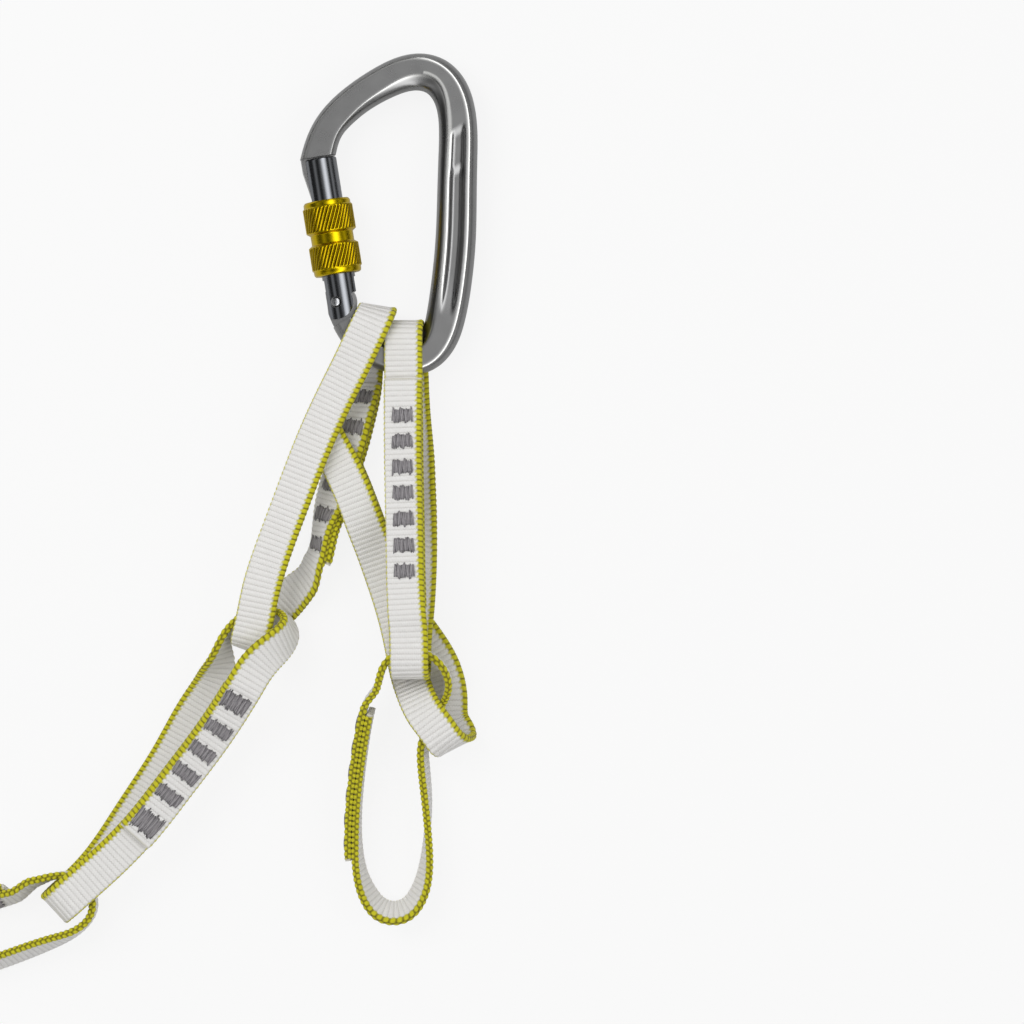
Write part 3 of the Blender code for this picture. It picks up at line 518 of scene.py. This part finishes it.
# The weft steps from warp to warp, so each rib's edge runs in small steps and is broken here
# and there where the yarns swell. The valleys between the ribs are painted a darker grey as shade.
step = add_node(tree, "ShaderNodeMath", {
    0: axes.outputs["X"], 1: 2 * math.pi / WEFT_STEP,
}, operation="MULTIPLY")
step = add_node(tree, "ShaderNodeMath", {0: step.outputs[0]}, operation="SINE")
shift = add_node(tree, "ShaderNodeMath", {
    0: step.outputs[0], 1: 0.11, 2: axes.outputs["Y"],
}, operation="MULTIPLY_ADD")
rib = add_node(tree, "ShaderNodeMath", {
    0: shift.outputs[0], 1: 2 * math.pi / RIB_PITCH,
}, operation="MULTIPLY")
rib = add_node(tree, "ShaderNodeMath", {0: rib.outputs[0]}, operation="COSINE")
yarn = add_node(tree, "ShaderNodeMath", {
    0: axes.outputs["X"], 1: 2 * math.pi / WARP_PITCH,
}, operation="MULTIPLY")
yarn = add_node(tree, "ShaderNodeMath", {0: yarn.outputs[0]}, operation="SINE")
fuzz = add_node(tree, "ShaderNodeTexNoise", {
    "Vector": woven.outputs["Vector"], "Scale": 1.1, "Detail": 5.0, "Roughness": 0.65,
})
broken = add_node(tree, "ShaderNodeMapRange", {
    "Value": fuzz.outputs["Fac"], "From Min": 0.35, "From Max": 0.62, "To Min": 0.35, "To Max": 1.0,
})
# Painted shade: the rib valleys are darkened towards grey
rib_valley_shade = add_node(tree, "ShaderNodeMapRange", {
    "Value": rib.outputs[0], "From Min": -0.45, "From Max": -1.0, "To Min": 0.0, "To Max": 0.55,
})
line = add_node(tree, "ShaderNodeMath", {
    0: rib_valley_shade.outputs["Result"], 1: broken.outputs["Result"],
}, operation="MULTIPLY")
soil = add_node(tree, "ShaderNodeMix", {
    0: fuzz.outputs["Fac"], 6: linear("#E3E1DE"), 7: linear("#F8F7F5"),
}, data_type="RGBA")
white = add_node(tree, "ShaderNodeMix", {
    0: line.outputs[0], 6: soil.outputs[2], 7: linear("#B4B0AA"),
}, data_type="RGBA")
# Painted shade: the yellow cord is darkened to olive in the gaps between its beads
bead = add_node(tree, "ShaderNodeMapRange", {"Value": axes.outputs["Z"], "From Min": 0.10, "From Max": 0.62})
fresh = add_node(tree, "ShaderNodeMix", {
    0: fuzz.outputs["Fac"], 6: linear("#BEB812"), 7: linear("#DAD424"),
}, data_type="RGBA")
lime_and_gap_shade = add_node(tree, "ShaderNodeMix", {
    0: bead.outputs["Result"], 6: linear("#6A6206"), 7: fresh.outputs[2],
}, data_type="RGBA")
both = add_node(tree, "ShaderNodeMix", {
    0: corded.outputs["Fac"], 6: white.outputs[2], 7: lime_and_gap_shade.outputs[2],
}, data_type="RGBA")
singed = add_node(tree, "ShaderNodeAttribute", attribute_name="singed")
sealed = add_node(tree, "ShaderNodeMix", {
    0: singed.outputs["Fac"], 6: both.outputs[2], 7: linear("#D6D3C8"),
}, data_type="RGBA")
strands = add_node(tree, "ShaderNodeMath", {
    0: yarn.outputs[0], 1: 0.3, 2: rib.outputs[0],
}, operation="MULTIPLY_ADD")
bump = add_node(tree, "ShaderNodeBump", {"Height": strands.outputs[0], "Strength": 0.45, "Distance": 0.00012})
tree.links.new(sealed.outputs[2], shader.inputs["Base Color"])
tree.links.new(bump.outputs["Normal"], shader.inputs["Normal"])
shader.inputs["Roughness"].default_value = 0.78
shader.inputs["Sheen Weight"].default_value = 0.15

# Bar tacks are dense zigzags of grey polyamide thread, dull, with lighter and darker strands at random.
# The lower pass is painted darker than the upper one as shade.
thread, tree, shader = start_material("polyamide_thread_grey")
place = add_node(tree, "ShaderNodeTexCoord").outputs["Object"]
lie = add_node(tree, "ShaderNodeTexNoise", {"Vector": place, "Scale": 1500.0, "Detail": 2.0})
strand_tone_and_shade = add_node(tree, "ShaderNodeAttribute", attribute_name="strand_tone_and_shade")
mixed = add_node(tree, "ShaderNodeMath", {
    0: lie.outputs["Fac"], 1: 0.5, 2: strand_tone_and_shade.outputs["Fac"],
}, operation="MULTIPLY_ADD")
tone = add_node(tree, "ShaderNodeMix", {
    0: mixed.outputs[0], 6: linear("#2A282B"), 7: linear("#A6A2A5"),
}, data_type="RGBA")
tree.links.new(tone.outputs[2], shader.inputs["Base Color"])
shader.inputs["Roughness"].default_value = 0.62
shader.inputs["Sheen Weight"].default_value = 0.2


BEND_SQUARENESS = 2.6     # 2 would be a half ellipse, and more is squarer
ROUTE_SAMPLES = 1601


def bend(start, end, heading, reach, bearings):
    """Rows round a loop's end: half a superellipse from start to end, reaching out along heading."""
    start = np.array(start)
    end = np.array(end)
    out = reach * np.array([math.cos(math.radians(heading)), math.sin(math.radians(heading)), 0.0])
    rows = []
    for degrees in (90, 60, 30, 0, -30, -60, -90):
        turn = math.radians(degrees)
        level = math.copysign(abs(math.sin(turn)) ** (2 / BEND_SQUARENESS), degrees)
        share = max(math.cos(turn), 0.0) ** (2 / BEND_SQUARENESS)
        at = (start + end) / 2 + (start - end) / 2 * level + out * share
        rows.append((*at, bearings[0] + (bearings[1] - bearings[0]) * (90 - degrees) / 180, 0.0))
    return rows


def unit(vectors):
    """Each row at length one."""
    return vectors / np.linalg.norm(vectors, axis=1)[:, None]


def ring_curve(points, samples):
    """Cubic curve through a closed ring of rows, evenly sampled, last sample on the first."""
    points = np.asarray(points, float)
    ring = np.vstack([points, points[:1]])
    hops = np.linalg.norm(np.diff(ring[:, :3], axis=0), axis=1)
    count = len(points)
    here = np.arange(count)
    system = np.zeros((count, count))
    system[here, here - 1] += np.roll(hops, 1)
    system[here, here] += 2 * (np.roll(hops, 1) + hops)
    system[here, (here + 1) % count] += hops
    slope = np.diff(ring, axis=0) / hops[:, None]
    bends = np.linalg.solve(system, 6 * (slope - np.roll(slope, 1, axis=0)))
    knots = np.concatenate([[0], np.cumsum(hops)])
    return cubic_pieces(ring, np.vstack([bends, bends[:1]]), knots, np.linspace(0, knots[-1], samples))


class Route:
    """A loop's closed path: place, width direction and face direction at any distance along it."""

    def __init__(self, rows):
        rows = np.array(rows, float)
        turn, tilt = np.radians(rows[:, 3]), np.radians(rows[:, 4])
        width = np.stack([np.cos(tilt) * np.cos(turn), np.cos(tilt) * np.sin(turn), np.sin(tilt)], axis=1)
        line = ring_curve(np.hstack([rows[:, :3], width]), ROUTE_SAMPLES)
        self.place = line[:, :3]
        run = unit(np.roll(self.place[:-1], -1, 0) - np.roll(self.place[:-1], 1, 0))
        run = np.vstack([run, run[:1]])
        self.across = unit(line[:, 3:] - run * np.sum(line[:, 3:] * run, axis=1)[:, None])
        self.face = np.cross(run, self.across)
        self.at = np.concatenate([[0], np.cumsum(np.linalg.norm(np.diff(self.place, axis=0), axis=1))])
        self.length = self.at[-1]

    def points(self, along, across, through):
        """Points at a distance along, across the width and out through the face, in millimetres."""
        s = np.mod(along, self.length)
        place, sideways, outwards = (
            np.stack([np.interp(s, self.at, way[:, k]) for k in range(3)], axis=-1)
            for way in (self.place, self.across, self.face)
        )
        return place + sideways * across[..., None] + outwards * through[..., None]


EDGE_ROUND = 1.05         # radius of the tape's rounded edges
EDGE_MIDDLE = TAPE_HALF_WIDTH - EDGE_ROUND
EDGE_GIRTH = EDGE_MIDDLE + math.pi / 2 * EDGE_ROUND
FLAT_HALF_WIDTH = 4.75
FLAT_POINTS = 19
RING_STEP = 0.29
RIB_RISE = 0.06
BEAD_RISE = 0.34
BEAD_SINK = 0.10          # how far the gaps between beads lie under the outline


def tape_section():
    """Closed outline of the tape: across, through, and girth counted from the middle line."""
    flat = np.linspace(FLAT_HALF_WIDTH, -FLAT_HALF_WIDTH, FLAT_POINTS)
    turn = np.radians(np.arange(-80, 81, 16))
    girth = EDGE_MIDDLE + EDGE_ROUND * (math.pi / 2 - np.abs(turn))
    right = np.stack([EDGE_MIDDLE + EDGE_ROUND * np.cos(turn), EDGE_ROUND * np.sin(turn), girth], axis=1)
    left = np.stack([-EDGE_MIDDLE - EDGE_ROUND * np.cos(turn), -EDGE_ROUND * np.sin(turn), girth], axis=1)
    top = np.stack([flat, np.full(FLAT_POINTS, TAPE_HALF_THICKNESS), np.abs(flat)], axis=1)
    bottom = np.stack([-flat, np.full(FLAT_POINTS, -TAPE_HALF_THICKNESS), np.abs(flat)], axis=1)
    return np.vstack([right, top, left, bottom])


def woven_tape(name, route, overlap, side):
    """Along: evenly spaced rings. Across: the outline, its flats raised by a cosine rib and
    its edges by slanting beads, one row on each face, half a pitch apart. Past a full turn it
    lies a layer out. The yellow cord laps further over the face on one edge than on the other.
    Both cut ends are sealed flat over their last half millimetre."""
    total = route.length + overlap
    along = np.linspace(0, total, int(total / RING_STEP))[:, None]
    section = tape_section()
    across, through, girth = (section[:, k][None, :] for k in range(3))
    lift = side * LAYER * smooth_step(along, route.length - RAMP, route.length - 1.0)
    singed = 1 - smooth_step(np.minimum(along, total - along), 0.3, 0.8)
    lap = EDGE_CORD - EDGE_LEAN * np.sign(across)
    share = np.clip((girth - lap) / (EDGE_GIRTH - lap), 0, 1)
    phase = along / BEAD_PITCH + 0.25 * np.sign(through) + 0.2 * (share - 0.5)
    scallop = 0.5 * (1 - np.abs(np.cos(math.pi * phase)) ** 0.7)
    corded = smooth_step(girth - scallop, lap - 0.12, lap + 0.12)
    round_off = np.sqrt(np.clip(1 - (1.25 * share - 0.55) ** 2 / 0.52, 0, 1))
    bead = round_off * np.abs(np.cos(math.pi * phase)) ** 1.1 * (1 - singed)
    rib = RIB_RISE * np.cos(2 * math.pi * along / RIB_PITCH) * (1 - corded) * (1 - singed)
    rise = corded * (BEAD_RISE * bead - BEAD_SINK) + rib
    on_edge = girth > EDGE_MIDDLE
    thick = through + np.where(on_edge, through / EDGE_ROUND, np.sign(through)) * rise
    wide = across + np.where(on_edge, (across - np.sign(across) * EDGE_MIDDLE) / EDGE_ROUND, 0) * rise
    rings = route.points(np.broadcast_to(along, wide.shape), wide, thick + lift)
    made = lofted(name, rings, webbing, 180)
    # The bead height goes to the material, which darkens the gaps between beads as painted shade
    weave = np.stack(np.broadcast_arrays(across, along, bead), axis=-1)
    keep_values(made, "weave", weave, "FLOAT_VECTOR")
    keep_values(made, "corded", np.broadcast_to(corded, bead.shape))
    keep_values(made, "singed", np.broadcast_to(singed, bead.shape))
    return made


THREAD_RADIUS = 0.18
THREAD_PITCH = 0.72
STITCH_STEPS = 8          # points on each thread from one end of the tack to the other


def thread_tube(points, sides=6):
    """Rings of thread along points: the thread's radius carried round them, square to the run."""
    run = unit(np.gradient(points, axis=0))
    flat = unit(np.cross(run, np.array([0.13, 0.21, 0.97])))
    over = np.cross(run, flat)
    turn = 2 * math.pi * np.arange(sides) / sides
    cosine, sine = (wave[None, :, None] for wave in (np.cos(turn), np.sin(turn)))
    return points[:, None, :] + THREAD_RADIUS * (flat[:, None, :] * cosine + over[:, None, :] * sine)


def bar_tack(name, route, side, middle, length, width):
    """Two passes of zigzag thread: across steps evenly, along swings between the two ends, each
    turn a little long or short, and the thread arches over the tape between its two holes."""
    turns = 2 * int(round(width / THREAD_PITCH))
    rings = []
    shades = []
    step = np.arange(turns * STITCH_STEPS + 1)
    swing = np.interp(step % (2 * STITCH_STEPS), [0, STITCH_STEPS, 2 * STITCH_STEPS], [-1, 1, -1])
    for layer, (slide, low) in enumerate(((0.0, 0.0), (0.5, 0.16))):
        turn = step // STITCH_STEPS + layer * 5
        ragged = 1 + 0.17 * np.sin(turn * 2.4 + middle) + 0.12 * np.sin(turn * 5.1 + 2 * middle)
        swung = length / 2 * swing * ragged * (1 - 0.1 * layer)
        along = route.length + middle + swung + 0.12 * np.sin(turn * 3.3)
        across = -width / 2 + width * (step / step[-1] + (slide - 0.25) * 1.6 / turns)
        arch = 0.20 * np.sqrt(np.clip(1 - swing ** 2, 0, 1)) + 0.06 * np.sin(turn * 1.7) + low
        points = route.points(along, across, side * (LAYER + 0.98 + arch))
        tube = thread_tube(points)
        rings.append(tube)
        # Painted shade: the lower pass is darker than the upper one; the rest varies at random from turn to
        # turn
        shade = 0.25 + 0.25 * layer + 0.40 * np.sin(turn * 2.9 + middle) * np.sin(turn * 1.3)
        shades.append(np.repeat(shade, tube.shape[1]))
    made = lofted(name, rings[0], thread, 180)
    over = lofted(name + "_over", rings[1], thread, 180)
    work = bmesh.new()
    work.from_mesh(made.data)
    work.from_mesh(over.data)
    work.to_mesh(made.data)
    work.free()
    bpy.data.objects.remove(over, do_unlink=True)
    keep_values(made, "strand_tone_and_shade", np.concatenate(shades))
    return made


# Each route is a closed ring of rows: x, y and z, the bearing of the tape's width and its tilt in
# degrees. A dict is a bend that turns the loop back. A tack's place is counted from the overlap's start.
loops = {
    # End loop, clipped on the bottom arm, sewn on its front leg
    "end_loop": dict(
        side=-1, overlap=73.4, tacks=np.linspace(12.1, 61.4, 7), tack=(4.4, 6.4), route=[
        (0.2, -66.4, 22.8, 0, 8),
        (-0.4, -40.0, 20.0, 0, 12),
        (-0.9, -15.0, 17.2, 0, 12),
        (-1.2, 5.0, 15.4, 0, 5),
        dict(start=(-1.4, 17.4, 15.3), end=(-0.6, 17.4, 1.0),
             heading=90, reach=6.9, bearings=(0, 0)),
        (0.3, 9.0, 1.0, 0, 0),
        (0.5, 4.5, 1.0, 0, 0),
        (0.7, 0.0, 1.0, 0, 0),
        (1.0, -4.5, 1.0, 0, 0),
        (1.4, -9.0, 1.2, 0, 2),
        (2.0, -14.5, 2.2, 0, 9),
        (2.7, -21.0, 3.7, 0, 19),
        (3.3, -30.0, 4.7, 0, 26),
        (3.3, -43.0, 8.4, 0, 12),
        (3.1, -53.0, 9.8, 0, 0),
        (2.4, -66.0, 9.1, 0, 0),
        dict(start=(1.4, -79.2, 9.1), end=(0.6, -79.2, 24.4),
             heading=-90, reach=8.2, bearings=(0, 0)),
    ]),
    # Free loop, on edge through the end loop and the middle loop, sewn on its left leg
    "free_loop": dict(
        side=1, overlap=48.0, tacks=np.linspace(4.0, 43.0, 6), tack=(4.6, 8.0), route=[
        (-11.6, -98.6, 12.6, 180, 89),
        (-14.2, -113.0, 9.6, 180, 88),
        (-15.9, -128.0, 7.4, 180, 87),
        (-16.2, -141.0, 6.6, 182, 84),
        (-15.0, -151.0, 6.3, 195, 76),
        (-12.2, -158.0, 6.0, 218, 67),
        (-8.6, -162.0, 5.9, 245, 62),
        (-4.6, -163.1, 5.9, 270, 61),
        (-0.4, -161.8, 5.9, 292, 62),
        (3.2, -157.2, 6.0, 320, 66),
        (5.4, -149.6, 6.2, 348, 74),
        (6.2, -139.0, 6.4, 360, 86),
        (5.9, -126.0, 7.0, 360, 97),
        (4.9, -115.0, 7.8, 360, 99),
        (5.0, -108.4, 8.4, 360, 96),
        (7.0, -102.8, 8.4, 360, 90),
        (10.2, -97.8, 8.5, 360, 90),
        (12.4, -92.4, 10.2, 360, 90),
        (11.8, -86.4, 13.8, 360, 90),
        (8.2, -81.7, 16.2, 360, 90),
        (3.0, -79.6, 16.7, 360, 90),
        (-2.2, -79.9, 16.7, 360, 90),
        (-6.6, -83.0, 16.2, 360, 90),
        (-9.2, -89.6, 14.4, 360, 90),
    ]),
    # Middle loop, round the long loop's rear leg and the free loop's right leg, sewn behind
    "middle_loop": dict(
        side=-1, overlap=60.0, tacks=np.linspace(20.0, 56.0, 5), tack=(4.2, 7.6), route=[
        (11.2, -87.0, 1.0, 18, 0),
        (7.4, -79.5, 1.0, 32, 0),
        (2.2, -72.2, 1.0, 36, 0),
        (-4.6, -62.0, 1.0, 30, 0),
        (-10.2, -48.0, 1.0, 22, 0),
        (-15.4, -34.0, 1.0, 24, 0),
        (-20.4, -22.0, 1.0, 27, 0),
        dict(start=(-26.0, -11.8, 1.0), end=(-26.2, -11.4, 13.7),
             heading=118, reach=5.2, bearings=(28, 28)),
        (-21.8, -19.6, 13.7, 25, 0),
        (-16.6, -31.0, 14.2, 20, 0),
        (-13.7, -39.0, 13.2, 20, 0),
        (-10.6, -47.4, 9.0, 19, 0),
        (-8.3, -54.0, 6.9, 18, 0),
        (-5.6, -62.0, 6.6, 18, 0),
        (-2.0, -75.5, 6.6, 17, 0),
        (-0.6, -82.6, 6.6, 17, 0),
        (0.4, -87.2, 7.2, 20, 0),
        (1.8, -91.4, 10.4, 24, 0),
        (3.5, -95.4, 14.4, 27, 0),
        (5.6, -99.2, 16.4, 28, 0),
        dict(start=(9.4, -104.3, 17.0), end=(13.4, -102.4, 1.0),
             heading=-58, reach=7.2, bearings=(31, 22)),
        (12.8, -96.0, 1.0, 12, 0),
    ]),
    # Long loop, clipped on the bottom arm, sewn on its rear leg
    "long_loop": dict(
        side=-1, overlap=58.0, tacks=np.linspace(5.0, 53.0, 6), tack=(4.4, 8.2), route=[
        (-27.6, -51.0, 6.3, -32, 60),
        (-25.1, -40.5, 6.5, -28, 58),
        (-22.4, -30.0, 6.5, -27, 34),
        (-20.2, -22.0, 6.4, -26, 30),
        (-17.8, -13.5, 6.3, -25, 27),
        (-15.6, -4.0, 4.9, -20, 24),
        (-14.5, 3.5, 2.5, -12, 10),
        (-14.2, 9.0, 1.1, -8, 0),
        (-14.2, 14.0, 1.0, -6, 0),
        dict(start=(-14.2, 20.6, 1.0), end=(-13.2, 20.5, 17.6),
             heading=64, reach=9.4, bearings=(-4, -14)),
        (-17.0, 12.5, 17.2, -22, 0),
        (-21.5, 3.5, 16.9, -23, 4),
        (-25.9, -5.6, 16.8, -22, 6),
        (-30.8, -17.0, 16.8, -20, 8),
        (-36.2, -31.0, 16.6, -19, 12),
        (-41.8, -46.0, 16.4, -18, 12),
        (-46.2, -60.0, 16.8, -18, 4),
        dict(start=(-48.9, -72.6, 16.4), end=(-47.6, -72.8, 1.0),
             heading=-105, reach=6.5, bearings=(-19, -24)),
        (-42.6, -67.6, 1.0, -34, 0),
        (-36.4, -61.6, 3.6, -36, 22),
    ]),
    # Lower loop, on edge through the long loop's bend, then turned flat, sewn on its front leg
    "lower_loop": dict(
        side=-1, overlap=58.0, tacks=np.array([4.0, 14.6, 23.6, 32.4, 41.2, 52.0]), tack=(4.4, 8.6),
        ends=(6.4, 7.0), route=[
        (-52.4, -91.6, 16.4, 140, 12),
        (-61.6, -105.6, 13.4, 141, 12),
        (-73.9, -122.0, 13.8, 142, 12),
        (-85.1, -136.2, 14.8, 140, 10),
        (-96.6, -147.8, 15.6, 136, 4),
        dict(start=(-105.7, -155.9, 16.0), end=(-106.2, -155.4, 1.0),
             heading=-138, reach=8.0, bearings=(133, 133)),
        (-98.8, -147.6, 1.0, 136, 0),
        (-88.6, -132.8, 1.0, 143, 0),
        (-75.6, -112.4, 1.0, 147, 0),
        (-67.4, -98.0, 2.2, 147, 6),
        (-61.8, -88.8, 4.2, 147, 25),
        (-59.6, -81.2, 7.2, 147, 60),
        (-57.6, -74.0, 8.7, 147, 86),
        (-52.8, -68.8, 8.7, 147, 90),
        (-46.6, -66.8, 8.7, 147, 90),
        (-40.6, -67.8, 9.0, 147, 88),
        (-37.4, -71.8, 12.4, 145, 72),
        (-39.6, -76.6, 17.2, 142, 44),
        (-45.2, -81.8, 19.4, 140, 20),
    ]),
    # Tie-in loop, on edge through the lower loop's bottom bend, sewn on its upper leg
    "tie_in_loop": dict(
        side=-1, overlap=58.0, tacks=np.linspace(5.0, 53.0, 6), tack=(4.4, 7.6), route=[
        (-127.0, -155.8, 6.8, 95, 70),
        (-140.0, -159.2, 6.2, 98, 66),
        (-160.0, -162.6, 6.0, 100, 66),
        (-185.0, -168.6, 6.0, 104, 66),
        (-206.0, -174.6, 6.0, 107, 68),
        (-217.0, -180.4, 6.0, 107, 74),
        (-220.4, -187.6, 6.0, 107, 80),
        (-214.4, -193.8, 6.0, 107, 74),
        (-200.0, -195.6, 6.0, 107, 66),
        (-175.0, -191.6, 6.0, 106, 66),
        (-150.0, -184.8, 6.0, 104, 66),
        (-129.5, -178.2, 6.4, 102, 68),
        (-112.4, -171.8, 7.8, 100, 74),
        (-104.2, -167.8, 8.6, 95, 84),
        (-100.2, -162.8, 8.7, 90, 88),
        (-100.8, -155.8, 8.7, 90, 88),
        (-104.8, -151.8, 8.7, 90, 88),
        (-110.0, -150.8, 8.7, 90, 88),
        (-116.5, -152.4, 8.2, 92, 82),
    ]),
}
for loop, facts in loops.items():
    rows = []
    for stretch in facts["route"]:
        rows += bend(**stretch) if isinstance(stretch, dict) else [stretch]
    route = Route(rows)
    tape = woven_tape(f"{loop}_webbing", route, facts["overlap"], facts["side"])
    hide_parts(loop)
    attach(tape, loop)
    length, width = facts["tack"]
    lengths = np.full(len(facts["tacks"]), length)
    lengths[[0, -1]] = facts.get("ends", (length, length))
    for i, middle in enumerate(facts["tacks"]):
        sewn = bar_tack(f"{loop}_stitching_{i + 1}", route, facts["side"], middle, lengths[i], width)
        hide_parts(f"{loop}_bar_tack_{i + 1}")
        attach(sewn, loop)


# Studio. A plain white floor under the chain, which keeps its shadow, a broad soft lamp high on
# the left and a smaller one on the right. Softboxes for the metal stand in the world.
FLOOR_LEVEL = -0.0003
FLOOR_REACH = 3
FLOOR_SEEN = 0.86         # share of plain white that the camera sees in the floor
FLOOR_MIRRORED = 0.15     # and that metal sees in it
white_floor, tree, shader = start_material("paper_white_matt")
shader.inputs["Base Color"].default_value = linear("#DEDEDE")
shader.inputs["Roughness"].default_value = 0.9
shader.inputs["Specular IOR Level"].default_value = 0.0
glow = add_node(tree, "ShaderNodeEmission", {"Color": (1, 1, 1, 1), "Strength": 1.0})
path = add_node(tree, "ShaderNodeLightPath")
lit = add_node(tree, "ShaderNodeMath", {
    0: path.outputs["Is Camera Ray"], 1: FLOOR_SEEN,
}, operation="MULTIPLY")
mirrored = add_node(tree, "ShaderNodeMath", {
    0: path.outputs["Is Glossy Ray"], 1: path.outputs["Is Transmission Ray"],
}, operation="MAXIMUM")
shown = add_node(tree, "ShaderNodeMath", {
    0: mirrored.outputs[0], 1: FLOOR_MIRRORED, 2: lit.outputs[0],
}, operation="MULTIPLY_ADD")
blend = add_node(tree, "ShaderNodeMixShader", {0: shown.outputs[0], 1: shader.outputs[0], 2: glow.outputs[0]})
tree.links.new(blend.outputs[0], tree.nodes["Material Output"].inputs["Surface"])
mesh = bpy.data.meshes.new("floor")
corners = [(FLOOR_REACH * x, FLOOR_REACH * y, FLOOR_LEVEL) for x, y in ((-1, -1), (1, -1), (1, 1), (-1, 1))]
mesh.from_pydata(corners, [], [(0, 1, 2, 3)])
mesh.materials.append(white_floor)
floor = bpy.data.objects.new("floor", mesh)
bpy.context.scene.collection.objects.link(floor)

for name, place, size, power in (
    ("lamp_left", (-0.55, 0.35, 0.95), (0.55, 0.80), 5.0),
    ("lamp_right", (0.70, -0.10, 0.80), (0.40, 0.70), 1.7),
):
    data = bpy.data.lights.new(name, "AREA")
    data.shape = "RECTANGLE"
    data.size, data.size_y = size
    data.energy = power
    lamp = bpy.data.objects.new(name, data)
    lamp.location = place
    lamp.rotation_euler = Vector(place).to_track_quat("Z", "Y").to_euler()
    lamp.visible_glossy = False
    bpy.context.scene.collection.objects.link(lamp)

world = bpy.data.worlds.new("studio")
world.use_nodes = True
tree = world.node_tree
direction = add_node(tree, "ShaderNodeTexCoord").outputs["Generated"]
axes = add_node(tree, "ShaderNodeSeparateXYZ", {"Vector": direction})
side_angle = add_node(tree, "ShaderNodeMath", {
    0: axes.outputs["X"], 1: axes.outputs["Z"],
}, operation="ARCTAN2")
fore_angle = add_node(tree, "ShaderNodeMath", {
    0: axes.outputs["Y"], 1: axes.outputs["Z"],
}, operation="ARCTAN2")
# Softboxes: which angle, its middle and half width in degrees, their soft rim, and the strength.
# They add to the first total, a faint base, and only glossy rays see them.
DIFFUSE_LEVEL = 0.52
total = 0.05
for angle, middle, half, rim, strength in (
    (side_angle, 8.0, 16.0, 12.0, 0.42),
    (side_angle, 23.0, 14.0, 13.0, 2.9),
    (side_angle, -44.0, 9.0, 8.0, 0.45),
    (side_angle, 72.0, 9.0, 8.0, 0.6),
    (fore_angle, -50.0, 14.0, 12.0, 0.35),
):
    away = add_node(tree, "ShaderNodeMath", {
        0: angle.outputs[0], 1: math.radians(middle),
    }, operation="SUBTRACT")
    away = add_node(tree, "ShaderNodeMath", {0: away.outputs[0]}, operation="ABSOLUTE")
    box = add_node(tree, "ShaderNodeMapRange", {
        "Value": away.outputs[0], "From Min": math.radians(half + rim), "From Max": math.radians(half - rim),
        "To Min": 0.0, "To Max": strength}, interpolation_type="SMOOTHSTEP")
    total = add_node(tree, "ShaderNodeMath", {0: box.outputs["Result"], 1: total}, operation="ADD").outputs[0]
path = add_node(tree, "ShaderNodeLightPath")
seen = add_node(tree, "ShaderNodeMix", {
    0: path.outputs["Is Glossy Ray"], 2: DIFFUSE_LEVEL, 3: total,
}, data_type="FLOAT")
final = add_node(tree, "ShaderNodeMix", {
    0: path.outputs["Is Camera Ray"], 2: seen.outputs[0], 3: 1.0,
}, data_type="FLOAT")
background = tree.nodes["Background"]
tree.links.new(final.outputs[0], background.inputs["Strength"])
background.inputs["Color"].default_value = (1, 1, 1, 1)
bpy.context.scene.world = world
bpy.context.scene.view_settings.view_transform = "Standard"
